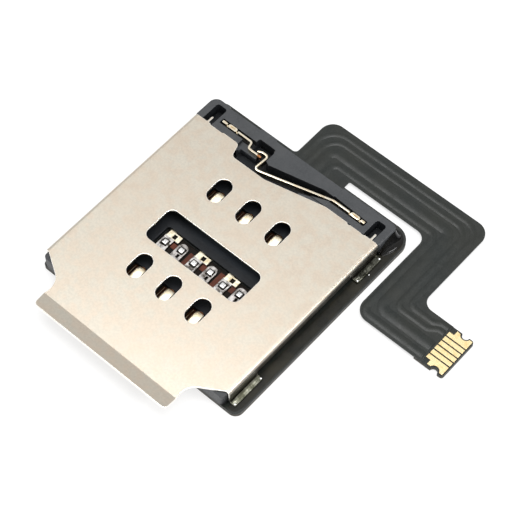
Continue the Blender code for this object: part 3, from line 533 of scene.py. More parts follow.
def film_finish(name, body_low, body_high, stain, level):
    """Black cover film over copper: satin, with a faint cast and press marks."""
    n = Nodes(name)
    fine = n.noise(8.0, 4.0, 0.6)
    broad = n.noise(0.45, 3.0, 0.55)
    press = n.noise(1.8, 3.0, 0.5)
    body = n.ramp(fine, (0.34, body_low), (0.66, body_high))
    color = n.mix(n.spread(broad, 0.0, 0.55), body, stain)
    return n.finish(color, n.spread(press, 0.28, 0.40),
                    [(fine, 0.10, 0.004), (press, 0.22, 0.010)], Specular_IOR_Level=level)


def amber_finish(name, deep, pale):
    """Amber polyimide over copper, seen where the cover film is open."""
    n = Nodes(name)
    broad = n.noise(1.6, 3.0, 0.55)
    fine = n.noise(12.0, 3.0, 0.6)
    color = n.ramp(broad, (0.36, deep), (0.64, pale))
    return n.finish(color, n.spread(fine, 0.29, 0.38), [(fine, 0.10, 0.004)], Specular_IOR_Level=0.25)


def board_finish():
    """Dark glass-epoxy plate with a faint weave."""
    n = Nodes("stiffener_board")
    weave = n.cells(5.0, 0.15)
    grime = n.noise(1.4, 4.0, 0.6)
    body = n.ramp(weave, (0.05, (0.040, 0.034, 0.022)), (0.60, (0.062, 0.052, 0.034)))
    color = n.mix(n.spread(grime, 0.0, 0.5), body, (0.030, 0.027, 0.022))
    return n.finish(color, n.spread(grime, 0.45, 0.65), [(weave, 0.2, 0.010), (grime, 0.15, 0.010)])


def sealant_finish(name, body, thin, rough, gloss):
    """Glossy potting compound, brown in patches as where it runs out thin."""
    n = Nodes(name)
    flow = n.noise(0.9, 2.0, 0.5)
    dust = n.noise(12.0, 3.0, 0.6)
    dusty = n.ramp(dust, (0.35, body), (0.75, tuple(c * 1.8 for c in body)))
    color = n.mix(n.spread(flow, 0.0, 0.8), dusty, thin)
    return n.finish(color, n.spread(dust, rough, rough + 0.07), [(flow, 0.12, 0.03)],
                    Specular_IOR_Level=gloss)


steel = steel_finish("satin_steel", (0.60, 0.543, 0.458), 0.085, 0.29, 0.33, 0.012)
# Cut edges and their rounding: partly the brighter bare sheared edge, partly a painted highlight.
sheared_edge_painted_highlight = steel_finish("sheared_edge_painted_highlight", (1.0, 0.97, 0.92), 0.03, 0.18, 0.26, 0.03)
# A darker copy of the steel for the right wall's outer faces, as painted shade.
wall_steel_painted_shade = steel_finish("wall_steel_painted_shade", (0.33, 0.315, 0.28), 0.12, 0.29, 0.36, 0.012)
plastic = plastic_finish("housing_plastic", (0.031, 0.034, 0.038), (0.052, 0.056, 0.060),
                         (0.060, 0.063, 0.067), 0.45)
# A darker copy of the plastic as painted shade deep inside, with a paler patch as painted light on the floor
# behind the solder tails.
painted_shade_plastic = plastic_finish("plastic_painted_shade_and_light", (0.008, 0.009, 0.011), (0.016, 0.018, 0.021),
                              (0.019, 0.021, 0.024), 0.20, (0.042, 0.050, 0.060))
contact_gold = gold_finish("contact_gold", (1.0, 0.93, 0.76), (0.86, 0.72, 0.48), 0.29, 0.38)
# A pale gold for the thin bright line beside each tongue, a painted highlight of the slot edge.
painted_highlight_gold = gold_finish("painted_highlight_gold", (0.86, 0.78, 0.58), (0.42, 0.34, 0.20), 0.29, 0.38)
# A brown copy of the gold; on the tongue tips it is painted shade where the tip curls down.
brown_gold = gold_finish("contact_brown_gold", (0.48, 0.22, 0.09), (0.24, 0.09, 0.035), 0.29, 0.38)
finger_gold = gold_finish("finger_gold", (0.86, 0.72, 0.42), (0.70, 0.53, 0.26), 0.29, 0.40)
leaf_gold = gold_finish("leaf_gold", (0.90, 0.83, 0.68), (0.80, 0.66, 0.46), 0.16, 0.26)
lug_plating = lug_finish()
silver = gold_finish("dull_plating", (0.62, 0.59, 0.57), (0.07, 0.06, 0.05), 0.29, 0.36)
solder = solder_finish("solder", (0.98, 0.97, 0.95), (0.66, 0.66, 0.66), 0.14, 0.26)
foot_solder = solder_finish("fluxed_solder", (0.26, 0.26, 0.21), (0.08, 0.08, 0.055), 0.30, 0.46)
flux = solder_finish("flux_residue", (0.12, 0.12, 0.10), (0.018, 0.018, 0.014), 0.30, 0.46)
film = film_finish("flex_film", (0.007, 0.010, 0.009), (0.016, 0.020, 0.018),
                   (0.018, 0.019, 0.014), 0.40)
# The exposed base in the solder window: a real bare patch, made darker and less glossy as painted shade under
# the cover.
bare_film_painted_shade = film_finish("bare_film_painted_shade", (0.004, 0.003, 0.002), (0.010, 0.007, 0.005),
                        (0.016, 0.009, 0.006), 0.12)
amber = amber_finish("amber_film", (0.062, 0.016, 0.008), (0.130, 0.032, 0.014))
shaded_amber = amber_finish("shaded_amber", (0.030, 0.014, 0.008), (0.075, 0.026, 0.012))
board = board_finish()
sealant = sealant_finish("sealant", (0.004, 0.004, 0.004), (0.007, 0.006, 0.004), 0.08, 0.25)
# The sealant skin on the film beside the socket, darkened as painted shade along the right wall.
ledge_sealant_painted_shade = sealant_finish("sealant_skin_painted_shade", (0.010, 0.010, 0.008), (0.030, 0.027, 0.018), 0.30, 0.20)


# Cover sheet

def corner_cut(side):
    """The concave cut of one front corner, from the side wall to the lip."""
    center_x, center_y, radius = COVER_HALF - 1.05, SIDE_FRONT - 1.95, 1.27
    points = arc(center_x, center_y, radius, radians(126.0), pi + (center_y - LIP_BEND_Y) / radius)
    points[-1] = (points[-1][0], LIP_BEND_Y)
    return [(side * x, y) for x, y in points]


def rear_edge():
    """The cover's rear edge from right to left, with its tabs, small steps and switch notch."""
    notch_front = 6.42
    notch = rounded_path([(5.38, COVER_REAR), (3.52, COVER_REAR, 1.2), (-0.95, notch_front, 1.2),
                          (-3.78, notch_front, 0.35), (-4.10, COVER_REAR, 0.35), (-5.45, COVER_REAR)])
    right = [(7.45, COVER_REAR), (7.45, TAB_REAR), (7.30, TAB_REAR), (7.30, COVER_REAR), (6.86, COVER_REAR),
             (6.78, 7.38), (6.60, 7.38), (6.56, 7.41), (5.66, 7.41), (5.62, 7.36), (5.46, 7.36)]
    left = [(-5.56, 7.38), (-6.60, 7.38), (-6.68, COVER_REAR), (-6.82, COVER_REAR), (-6.82, TAB_REAR),
            (-6.97, TAB_REAR), (-6.97, COVER_REAR)]
    return right + notch + left


class Skin:
    """The outer surface of a folded sheet, whose faces share their corner points."""

    def __init__(self):
        self.bm = bmesh.new()
        self.points = {}

    def vert(self, x, y, z):
        key = (round(x, 5), round(y, 5), round(z, 5))
        if key not in self.points:
            self.points[key] = self.bm.verts.new((x, y, z))
        return self.points[key]

    def face(self, corners):
        self.bm.faces.new([self.vert(*corner) for corner in corners])

    def rows(self, lines):
        """Joins neighbouring lines of points, each with as many points, by four-sided faces."""
        for low, high in zip(lines, lines[1:]):
            for i in range(len(low) - 1):
                self.face([low[i], low[i + 1], high[i + 1], high[i]])


def wall_profile(side, steps=8):
    """The (x, z) points over the cover's side bend and down the wall to its lower edge."""
    bend = [(COVER_HALF - COVER_BEND + COVER_BEND * sin(a), COVER_TOP - COVER_BEND * (1 - cos(a)))
            for a in (radians(90.0) * i / steps for i in range(steps + 1))]
    return [(side * x, z) for x, z in bend + [(COVER_HALF, COVER_TOP - WALL_DROP)]]


def foot_profile(steps=5):
    """The (x, z) points from the right wall's lower edge out over a soldered foot."""
    radius, reach = 0.10, 0.42
    bend = [(COVER_HALF + radius * (1 - cos(a)), FOOT_TOP + radius * (1 - sin(a)))
            for a in (radians(90.0) * i / steps for i in range(steps + 1))]
    return [(COVER_HALF, COVER_TOP - WALL_DROP), *bend, (COVER_HALF + reach, FOOT_TOP)]


def lip_faces(skin, steps=6):
    """The front lip: a bend and its flat flared end."""
    left, right = corner_cut(-1)[-1][0], corner_cut(1)[-1][0]
    angle, radius, length = radians(20.0), 0.30, 1.10
    lines = []
    for i in range(steps + 1):
        turn = angle * i / steps
        y, z = LIP_BEND_Y - radius * sin(turn), COVER_TOP + radius * (1 - cos(turn))
        lines.append([(left, y, z), (right, y, z)])
    skin.rows(lines)
    start_y, start_z = lines[-1][0][1:]
    edge = rounded([(left, 0.0, 0.0), (left + 0.24, length, 0.42), (right + 0.10, length, 0.30),
                    (right, 0.0, 0.0)])
    skin.face([(x, start_y - s * cos(angle), start_z + s * sin(angle)) for x, s in edge])


def make_cover_sheet():
    skin = Skin()
    flat_half = COVER_HALF - COVER_BEND
    heights = sorted({COVER_REAR, *(y for span in FOOT_SPANS for y in span)})
    outline = [(flat_half, y) for y in heights] + rear_edge()
    outline += [(-flat_half, COVER_REAR), (-flat_half, SIDE_FRONT)] + corner_cut(-1) + corner_cut(1)[::-1]
    windows = [obround(x, y, 1.18, 1.98) for y in (ROW_HALF, -ROW_HALF) for x in COLUMNS]
    loops = [outline, *windows, rectangle(-4.015, 4.015, -1.94, 0.78, 0.52)]
    flat = [point for loop in loops for point in loop]
    for triangle in fill(loops):
        skin.face([(*flat[i], COVER_TOP) for i in triangle])
    skin.rows([[(x, y, z) for x, z in wall_profile(1)] for y in heights])
    skin.rows([[(x, y, z) for x, z in wall_profile(-1)] for y in (SIDE_FRONT, COVER_REAR)])
    for low, high in FOOT_SPANS:
        skin.rows([[(x, y, z) for x, z in foot_profile()] for y in (low, high)])
    lip_faces(skin)
    sheet = linked("cover_sheet", skin.bm)
    for finish in (steel, sheared_edge_painted_highlight, wall_steel_painted_shade, foot_solder):
        sheet.data.materials.append(finish)
    # The solidify rim and the bevels take the second finish, a whiter steel that is partly a painted
    # highlight on the cut edges.
    modify(sheet, "SOLIDIFY", thickness=SHEET * MM, offset=-1.0, use_even_offset=True,
           use_quality_normals=True, material_offset_rim=1)
    bake(sheet)
    soften(sheet, 0.035, rim=1)
    # The feet take the fluxed solder; the right wall's outer faces take the darker steel as painted shade.
    for face in sheet.data.polygons:
        x, _, z = face.center / MM
        if x > WALL_INSIDE and z < FOOT_TOP + 0.05:
            face.material_index = 3
        elif x > WALL_INSIDE and face.normal.x > 0.80:
            face.material_index = 2
    place(sheet, "satin_steel", replaces=["cover_shell"])


# Card-detect switch

def make_leaf(name, path, ring_x, tab_x, body, node):
    """One leaf on edge, with the folded ring and the end tab that grip its slot."""
    leaf = prism(name, band(path, LEAF_WIDTH), LEAF_BOTTOM, LEAF_TOP)
    ring = prism("ring", obround(ring_x, SWITCH_LINE, 0.74, 0.30), LEAF_BOTTOM, LEAF_TOP)
    tab = prism("tab", around(tab_x, SWITCH_LINE, 0.15, 0.09, 0.04), LEAF_BOTTOM, LEAF_TOP)
    combine(leaf, [ring, tab], "UNION")
    above = LEAF_TOP + 0.2
    fold = prism("fold", obround(ring_x, SWITCH_LINE, 0.46, 0.09), LEAF_TOP - 0.16, above)
    soften(leaf, 0.014)
    side = 1 if tab_x > ring_x else -1
    necks = [prism("neck", around(x, SWITCH_LINE, 0.06, 0.3), LEAF_TOP - 0.20, above)
             for x in (ring_x + side * 0.43, ring_x - side * 0.42)]
    combine(leaf, [fold, *necks], "DIFFERENCE")
    place(leaf, "contact_gold", leaf_gold, [node], body)


def make_switch():
    moving = rounded_path([(6.22, SWITCH_LINE), (3.60, SWITCH_LINE, 0.80), (-1.50, 6.77, 0.30),
                           (-2.05, 6.67, 0.30), (-1.95, 8.01, 0.30), (-2.48, 8.01, 0.30), (-2.80, 7.86)])
    make_leaf("detect_leaf_moving", moving, 5.42, 6.08, "switch_leaf", "detect_spring_moving")
    fixed = rounded_path([(-6.22, SWITCH_LINE), (-3.56, 8.16, 0.20), (-3.44, 7.64, 0.20), (-2.62, 7.64)])
    make_leaf("detect_leaf_fixed", fixed, -5.30, -6.06, "socket", "detect_spring_fixed")
    slab("contact_spot", rectangle(-2.62, -2.30, 7.56, 7.72, 0.06), LEAF_TOP - 0.30, LEAF_TOP - 0.02, 0.03,
         "contact_gold", brown_gold, segments=3)


# Housing

def housing_outline():
    """The rear block and the body under the cover, counter-clockwise from the front left."""
    side = 7.80
    return rounded([
        (-side, HOUSING_FRONT, 0.30), (side, HOUSING_FRONT, 0.30), (side, SHOULDER, 0.0),
        (BLOCK_RIGHT, SHOULDER, 0.0), (BLOCK_RIGHT, BLOCK_REAR, 0.40), (STEP_LEFT, BLOCK_REAR, 0.0),
        (STEP_LEFT, HOUSING_REAR, 0.0), (-2.32, HOUSING_REAR, 0.0), (-2.46, BLOCK_REAR, 0.0),
        (-3.72, BLOCK_REAR, 0.0), (-3.80, HOUSING_REAR, 0.0), (-6.45, HOUSING_REAR, 0.0),
        (-6.62, BLOCK_REAR, 0.0), (BLOCK_LEFT, BLOCK_REAR, 0.60), (BLOCK_LEFT, SHOULDER, 0.0),
        (-side, SHOULDER, 0.0),
    ])


def switch_cutters():
    """The recess, ledge, pocket and slots of the card-detect switch."""
    top = HOUSING_TOP + OVERCUT
    recess = rounded([
        (-3.94, 6.5, 0.0), (1.40, 6.5, 0.0), (1.40, 7.17, 0.0), (3.45, 7.97, 0.3), (3.45, 8.41, 0.0),
        (2.60, 8.41, 0.8), (-1.50, 7.47, 0.0), (-1.83, 7.63, 0.0), (-1.83, 8.44, 0.0), (-2.62, 8.44, 0.0),
        (-2.62, 7.42, 0.0), (-3.94, 7.42, 0.15),
    ])
    moving_slot = [(3.41, 7.94), (6.30, 7.94), (6.30, 8.37), (3.41, 8.49)]
    slot_bottom = LEAF_BOTTOM - FIT_GAP
    return [
        prism("recess", recess, FLOOR_TOP, top),
        prism("ledge", rectangle(-4.18, HOOK_RIGHT, 7.20, 8.10, 0.15), LEDGE_TOP, top),
        prism("hook_pocket", rectangle(FIXED_END, HOOK_RIGHT, 7.79, 8.69, 0.15), FLOOR_TOP, top),
        prism("moving_slot", moving_slot, slot_bottom, top),
        prism("fixed_slot", rectangle(-6.30, FIXED_END, 7.93, 8.36), slot_bottom, top),
    ]


def floor_cutters():
    """The solder window, the tongue slots and the grooves of the contact leads."""
    below, above = FLOOR_BOTTOM - OVERCUT, FLOOR_TOP + 0.25
    tools = [prism("floor_window", rectangle(-3.67, 3.94, -2.10, 0.05, 0.20), below, above)]
    half, wide, front, rear = 0.42, 0.95, 1.45, 0.46
    for number, x, y, path in contact_layout():
        slot = [(x - half, y - ROOT_REACH), (x + half, y - ROOT_REACH), (x + half, y + rear),
                (x - wide, y + rear), (x - wide, y - front), (x - half, y - front)]
        tools.append(prism(f"tongue_slot_{number}", slot, below, above))
        tools.append(prism(f"lead_groove_{number}", band(path, 0.46), below, LEAD_TOP + FIT_GAP))
    return tools


def edge_rounder(name, path, radius, top):
    """A cutter that rounds a wall's top edge, along a path with the outside on its right."""
    section = [(-radius, top + 0.3), (0.3, top + 0.3), (0.3, top - radius)]
    section += arc(-radius, top - radius, radius, 0.0, pi / 2, radians(15.0))
    return sweep(name, path, section)


def in_shade(x, y, z, normal):
    """Whether a face of the housing lies deep inside, where it takes the darker plastic as painted shade."""
    level_top, wall_top = 1.2, 1.5
    return abs(x) < WALL_INSIDE and -7.2 < y < 9.1 and z < (level_top if abs(normal.z) > 0.5 else wall_top)


def make_housing():
    housing = prism("housing_molding", housing_outline(), FLOOR_BOTTOM, HOUSING_TOP)
    above, front, beyond = HOUSING_TOP + OVERCUT, HOUSING_FRONT - OVERCUT, 8.5
    right_edge = rounded_path([(BLOCK_RIGHT, 7.2), (BLOCK_RIGHT, BLOCK_REAR, 0.4), (3.35, BLOCK_REAR)])
    left_edge = rounded_path([(-6.40, 9.225), (-6.62, BLOCK_REAR, 0.0), (BLOCK_LEFT, BLOCK_REAR, 0.6),
                              (BLOCK_LEFT, 7.2)])
    tools = [
        prism("cover_seat", rectangle(-beyond, beyond, front, SHOULDER), COVER_UNDER - FIT_GAP, above),
        prism("card_bay", rectangle(-6.15, 6.15, front, 7.00), FLOOR_TOP, above),
        prism("left_pocket", rectangle(-7.40, -6.56, 6.95, 9.03, 0.20), FLOOR_TOP, above),
        prism("right_pocket", rectangle(6.70, 7.48, 6.95, 8.93, 0.20), FLOOR_TOP, above),
        prism("right_step", rectangle(STEP_LEFT, beyond, SHOULDER, 9.8), STEP_TOP, above),
        edge_rounder("right_edge", right_edge, 0.14, STEP_TOP),
        edge_rounder("left_edge", left_edge, 0.14, HOUSING_TOP),
    ]
    combine(housing, tools, "DIFFERENCE")
    fillers = [prism("left_filler", rectangle(-6.58, -5.60, 7.40, 7.60), 1.2, HOUSING_TOP),
               prism("right_filler", rectangle(5.68, 6.56, 7.43, 7.60), 1.2, STEP_TOP)]
    combine(housing, fillers, "UNION")
    combine(housing, switch_cutters() + floor_cutters(), "DIFFERENCE")
    soften(housing, 0.030, above=FLOOR_TOP - 0.05, crisp=LEDGE_TOP)
    # Faces deep inside take the darker copy of the plastic as painted shade.
    paint(housing, (plastic, painted_shade_plastic), in_shade)
    place(housing, "housing_plastic", replaces=["housing"])


# Card contacts

def tongue_profile(y):
    """The (y, z) middle line of a tongue, from its root over the dome to its tip."""
    tip_y = y + TIP_REACH
    root_y, root_z = tip_y - TONGUE_LENGTH, FLOOR_BOTTOM + STRIP / 2
    dome_y, dome_z = y - 0.12, FLOOR_TOP + 0.45 - STRIP / 2
    profile = [(root_y - 0.10, root_z)]
    rise_steps, fall_steps = 24, 12
    for i in range(rise_steps + 1):
        share = i / rise_steps
        profile.append((root_y + (dome_y - root_y) * share,
                        root_z + (dome_z - root_z) * sin(share * pi / 2) ** 1.15))
    for i in range(1, fall_steps + 1):
        share = sin(i / fall_steps * pi / 2)
        profile.append((dome_y + (tip_y - dome_y) * share, dome_z - 0.16 * share ** 2))
    return profile


def make_tongue(number, x, y):
    """One springy tongue: a strip swept along its profile, crowned across and round at its tip."""
    profile = tongue_profile(y)
    tip_y = y + TIP_REACH
    across = 8
    bm = bmesh.new()
    rings = []
    for i, (place_y, z) in enumerate(profile):
        along = direction(profile, i)
        up = Vector((-along.y, along.x)) * (STRIP / 2)
        short = TONGUE_HALF - (tip_y - place_y)
        half = TONGUE_HALF if short <= 0.0 else max(0.07, (TONGUE_HALF ** 2 - short ** 2) ** 0.5)
        crown = 0.028 * min(1.0, max(0.0, (place_y - y + 1.4) / 0.9))
        top = []
        bottom = []
        for j in range(across + 1):
            side = -1 + 2 * j / across
            drop = crown * side ** 2
            top.append(bm.verts.new((x + side * half, place_y + up.x, z + up.y - drop)))
            bottom.append(bm.verts.new((x + side * half, place_y - up.x, z - up.y - drop)))
        rings.append(top + bottom[::-1])
    join_rings(bm, rings)
    # Faces near the tip take the brown gold, a painted shade where the tip curls down.
    for face in bm.faces:
        face.material_index = int(face.calc_center_median().y > tip_y - 0.13)
    tongue = linked(f"card_contact_{number}", bm)
    tongue.data.materials.append(contact_gold)
    tongue.data.materials.append(brown_gold)
    soften(tongue, 0.016)
    place(tongue, "contact_gold", replaces=[f"contact_{number}"], body=f"contact_tongue_{number}")


def contact_layout():
    """Each contact's number, place and lead path, in rows from the rear."""
    layout = []
    for y in (ROW_HALF, -ROW_HALF):
        for x in COLUMNS:
            root = y - ROOT_REACH
            if y > 0:
                lane = x - 0.67
                path = [(x, root), (x, root - 0.25, 0.25), (lane, root - 0.85, 0.25), (lane, -1.50)]
            else:
                lane = x + 0.73
                path = [(x - 0.30, root - 0.21), (lane, root - 0.21, 0.25), (lane, -0.25)]
            layout.append((len(layout) + 1, x, y, rounded_path(path)))
    return layout


def make_lead(number, y, path):
    """A lead strip that ends in the solder window, in a notched lug or in a round eye."""
    lane = path[-1][0]
    if y > 0:
        solder_x, solder_y = lane + 0.12, -0.93
        added = [rectangle(lane - 0.20, lane + 0.83, -0.50, 0.02),
                 rectangle(lane - 0.26, lane + 0.50, -1.50, -0.44)]
        cut = rectangle(lane + 0.21, lane + 0.51, -0.42, -0.09)
    else:
        solder_x, solder_y = lane - 0.01, -0.74
        added = [rounded([(lane - 0.41, -1.50, 0.0), (lane + 0.34, -1.50, 0.0), (lane + 0.34, -0.23, 0.32),
                          (lane - 0.41, -0.23, 0.32)])]
        cut = rectangle(lane - 0.03, lane + 0.17, -1.36, -1.06)
    lead = prism(f"contact_tail_{number}", band(path, 0.42), FLOOR_BOTTOM, LEAD_TOP)
    combine(lead, [prism("added", outline, FLOOR_BOTTOM, LEAD_TOP) for outline in added], "UNION")
    removed = [cut, around(solder_x, solder_y, 0.26, 0.27, 0.06)]
    combine(lead, [prism("removed", outline, FLOOR_BOTTOM - 0.2, LEAD_TOP + 0.2) for outline in removed],
            "DIFFERENCE")
    soften(lead, 0.014)
    place(lead, "contact_gold", lug_plating if y > 0 else silver, [f"contact_lead_{number}"])
    make_solder_pillow(number, solder_x, solder_y)


def make_solder_pillow(number, x, y):
    """A domed square of solder in the well of one tail."""
    levels = 6
    rings = []
    outline = rectangle(-1.0, 1.0, -1.05, 1.05, 0.35)
    bottom, rise = BARE_FILM_TOP + FIT_GAP, 0.24
    for i in range(levels + 1):
        angle = (pi / 2) * i / levels
        half = 0.195 * (0.55 + 0.45 * cos(angle) ** 0.6) if i < levels else 0.06
        height = bottom + rise * (0.55 + 0.45 * sin(angle)) if i else bottom
        rings.append([(x + half * a, y + half * b, height) for a, b in outline])
    pillow = smooth(ring_solid(f"solder_pillow_{number}", rings), 75.0)
    place(pillow, "solder", solder, [f"tail_solder_{number}"])


def make_amber_strips():
    """The film's amber base, bare between the tails in the solder window."""
    spans = [(-2.66, -2.20, -0.97, -0.57), (-1.30, -0.95, -1.50, -0.40), (-0.10, 0.30, -0.97, -0.50),
             (1.20, 1.64, -1.50, -0.20), (2.44, 2.76, -0.97, -0.50)]
    for number, span in enumerate(spans, start=1):
        slab(f"amber_film_{number}", rectangle(*span, 0.04), BARE_FILM_TOP + 0.005, BARE_FILM_TOP + 0.035,
             0.008, "flex_film", amber)


def make_slot_film(number, x, y):
    """The amber base in its darker copy as painted shade, and a thin bright line as a painted highlight of
    the slot edge, seen beside a tongue through its window.
    """
    patch_top = FILM_TOP + 0.016
    patch = rectangle(x - 0.92, x - 0.02, y - 1.40, y + 0.42, 0.05)
    # The thin bright line is a painted highlight of the slot edge.
    edge_highlight = rectangle(x - 0.80, x - 0.755, y - 1.35, y + 0.36)
    slab(f"slot_film_{number}", patch, FILM_TOP + 0.002, patch_top, 0.004, "flex_film", shaded_amber)
    slab(f"slot_edge_highlight_{number}", edge_highlight, patch_top, FILM_TOP + 0.05, 0.008, "contact_gold", painted_highlight_gold)


# Flex circuit

def base_corners():
    """The base's front left, front right and rear right corners."""
    return [(BASE_LEFT, HOUSING_FRONT, 0.30), (BASE_RIGHT, HOUSING_FRONT, 0.60),
            (BASE_RIGHT, BASE_REAR, 1.30)]


def end_corners():
    """The finger end from its front notch round to its rear one."""
    front = arc(NOTCH_X, END_FRONT, NOTCH_RADIUS, pi, 0.0, NOTCH_STEP)
    rear = arc(NOTCH_X, END_REAR, NOTCH_RADIUS, 0.0, -pi, NOTCH_STEP)
    return [*[(x, y, 0.0) for x, y in front], (TAIL_END, END_FRONT, 0.20), (TAIL_END, END_REAR, 0.20),
            *[(x, y, 0.0) for x, y in rear]]


def film_outline():
    """The whole die-cut film, counter-clockwise from the base's front left corner."""
    neck_x, neck_y, elbow_x, rise_x = 2.90, 10.68, 9.49, 12.44
    return rounded([
        *base_corners(), (neck_x, BASE_REAR, 0.10), (neck_x, neck_y, 0.10), (elbow_x, neck_y, 0.80),
        (elbow_x, END_FRONT, 1.00), *end_corners(), (rise_x, END_REAR, 0.80), (rise_x, TAIL_REAR, 1.00),
        (TAIL_LEFT, TAIL_REAR, 1.00), (TAIL_LEFT, BASE_REAR, 0.30), (BASE_LEFT, BASE_REAR, 0.60),
    ])


def make_film():
    sheet = prism("film_laminate", film_outline(), FILM_BOTTOM, FILM_TOP)
    left, right, front, rear = -3.60, 3.80, -1.80, -0.02
    bare = [prism("bare_end", rectangle(FINGER_LEFT, 17.2, 2.7, 7.0), BARE_FILM_TOP, 0.9),
            prism("bare_window", rectangle(left, right, front, rear), BARE_FILM_TOP, 0.9)]
    combine(sheet, bare, "DIFFERENCE")
    soften(sheet, 0.018)
    # The bare window takes the darker film as painted shade.
    rim = 0.05
    paint(sheet, (film, bare_film_painted_shade), lambda x, y, z, normal: (
        left - rim < x < right + rim and front - rim < y < rear + rim))
    place(sheet, "flex_film", replaces=["flex_circuit"])


def make_trace_ribs():
    """The copper tracks that stand out faintly under the tail's cover film."""
    start, end, slope = 9.55, 14.9, 0.10
    tracks = [
        (0.30, [(-0.95, start), (-0.95, 13.32, 1.6), (11.95, 13.32, 1.3), (11.95, 5.92, 0.45),
                (13.85, 5.92, 0.40), (14.35, 6.22, 0.40), (end, 6.22)]),
        (0.28, [(-0.30, start), (-0.30, 12.73, 1.2), (11.35, 12.73, 1.0), (11.35, 5.32, 0.45),
                (13.85, 5.32, 0.40), (14.45, 5.75, 0.40), (end, 5.75)]),
        (0.62, [(0.40, start), (0.40, 11.90, 0.6), (10.58, 11.90, 0.6), (10.58, 4.52, 0.6), (end, 4.52)]),
        (0.38, [(1.20, start), (1.20, 11.14, 0.5), (9.90, 11.14, 0.5), (9.90, 3.66, 0.5), (end, 3.66)]),
    ]
    for number, (width, corners) in enumerate(tracks, start=1):
        half = width / 2
        foot = half + slope
        section = [(-foot, FILM_TOP - 0.03), (-foot, FILM_TOP - 0.004), (-half, TRACK_TOP), (half, TRACK_TOP),
                   (foot, FILM_TOP - 0.004), (foot, FILM_TOP - 0.03)]
        rib = smooth(sweep(f"film_track_{number}", rounded_path(corners), section), 60.0)
        place(rib, "flex_film", film)


def make_plates():
    """The plates bonded under the socket and under the finger end."""
    left = FINGER_LEFT - 0.60
    outlines = {"socket": [*base_corners(), (BASE_LEFT, BASE_REAR, 0.60)],
                "finger": [(left, END_FRONT, 0.0), *end_corners(), (left, END_REAR, 0.0)]}
    for name, corners in outlines.items():
        slab(f"{name}_plate", rounded(corners), 0.0, STIFFENER_TOP, 0.02, "stiffener_board", board,
             [f"{name}_stiffener"])


def outer_finger(side, middle):
    """The outline of an outer finger, hooked round its side notch. side is 1 at the rear."""
    inner = middle + side * 0.865
    near = inner + side * 0.32
    notch_y = END_REAR if side > 0 else END_FRONT
    outer = notch_y - side * FINGER_MARGIN
    reach = NOTCH_RADIUS + FINGER_MARGIN
    left, right = FINGER_SPAN
    hook = arc(NOTCH_X, notch_y, reach, -side * 0.12 * pi, -side * 0.88 * pi, radians(12.0))
    return [(left, inner), (right, inner), (right, outer), (NOTCH_X + reach, outer), *hook,
            (NOTCH_X - reach - 0.24, outer), (NOTCH_X - reach - 0.24, near), (left, near)]


def make_fingers():
    middle = (END_FRONT + END_REAR) / 2
    bottom = BARE_FILM_TOP + FIT_GAP
    for number in range(1, 7):
        y = middle + (number - 3.5) * FINGER_PITCH
        outline = rectangle(*FINGER_SPAN, y - 0.16, y + 0.16)
        if number in (1, 6):
            outline = outer_finger(-1 if number == 1 else 1, middle)
        slab(f"finger_plating_{number}", outline, bottom, bottom + 0.03, 0.010, "contact_gold", finger_gold,
             [f"gold_finger_{number}"])


# Solder fillets and sealant

def fillet_section(curve, steps=12):
    """A unit fillet from the top of a wall to its thin outer edge, hollow where curve is above 1."""
    edge = 0.04
    points = [(i / steps, edge + (1 - edge) * (1 - i / steps) ** curve) for i in range(steps + 1)]
    return points + [(1.0, 0.0), (0.0, 0.0)]


def bead(name, path, width, height, bottom, taper, section, share=0.22):
    """A fillet to the right of a path, which grows from a starting size over a share of each end."""
    rings = []
    total = len(path) - 1
    for i, point in enumerate(path):
        here = Vector(point)
        along = direction(path, i)
        out = Vector((along.y, -along.x))
        size = min(1.0, taper + (1 - taper) * sin(min(1.0, min(i, total - i) / (total * share)) * pi / 2))
        rings.append([(*(here + out * (width * size * s)), bottom + height * size * h) for s, h in section])
    return smooth(ring_solid(name, rings), 50.0)


def make_foot_solder():
    fillet_x, steps = 8.12, 24
    for side, finish, (low, high) in zip(("front", "rear"), (foot_solder, flux), FOOT_SPANS):
        path = [(fillet_x, low + 0.03 + (high - low - 0.06) * i / steps) for i in range(steps + 1)]
        fillet = bead(f"foot_fillet_{side}", path, 0.29, 0.21, FOOT_TOP + FIT_GAP, 0.55, fillet_section(2.2))
        place(fillet, "solder", finish, [f"foot_solder_{side}"])
        solder_drop(f"{side}_a", 8.32, low + 0.10, 0.09, FOOT_TOP)
        solder_drop(f"{side}_b", 8.32, high - 0.10, 0.09, FOOT_TOP)
    solder_drop("loose", 8.53, sum(FOOT_SPANS[1]) / 2 - 0.18, 0.06, FILM_TOP)


def solder_drop(name, x, y, radius, bottom):
    """A small bright bead of solder, flatter than it is wide."""
    bm = bmesh.new()
    bmesh.ops.create_icosphere(bm, subdivisions=3, radius=radius)
    for vert in bm.verts:
        vert.co.z *= 0.7
        vert.co.y *= 1.0 + 0.25 * vert.co.x / radius
        vert.co += Vector((x, y, bottom + 0.03))
    drop = smooth(linked(f"solder_drop_{name}", bm), 60.0)
    place(drop, "solder", solder)


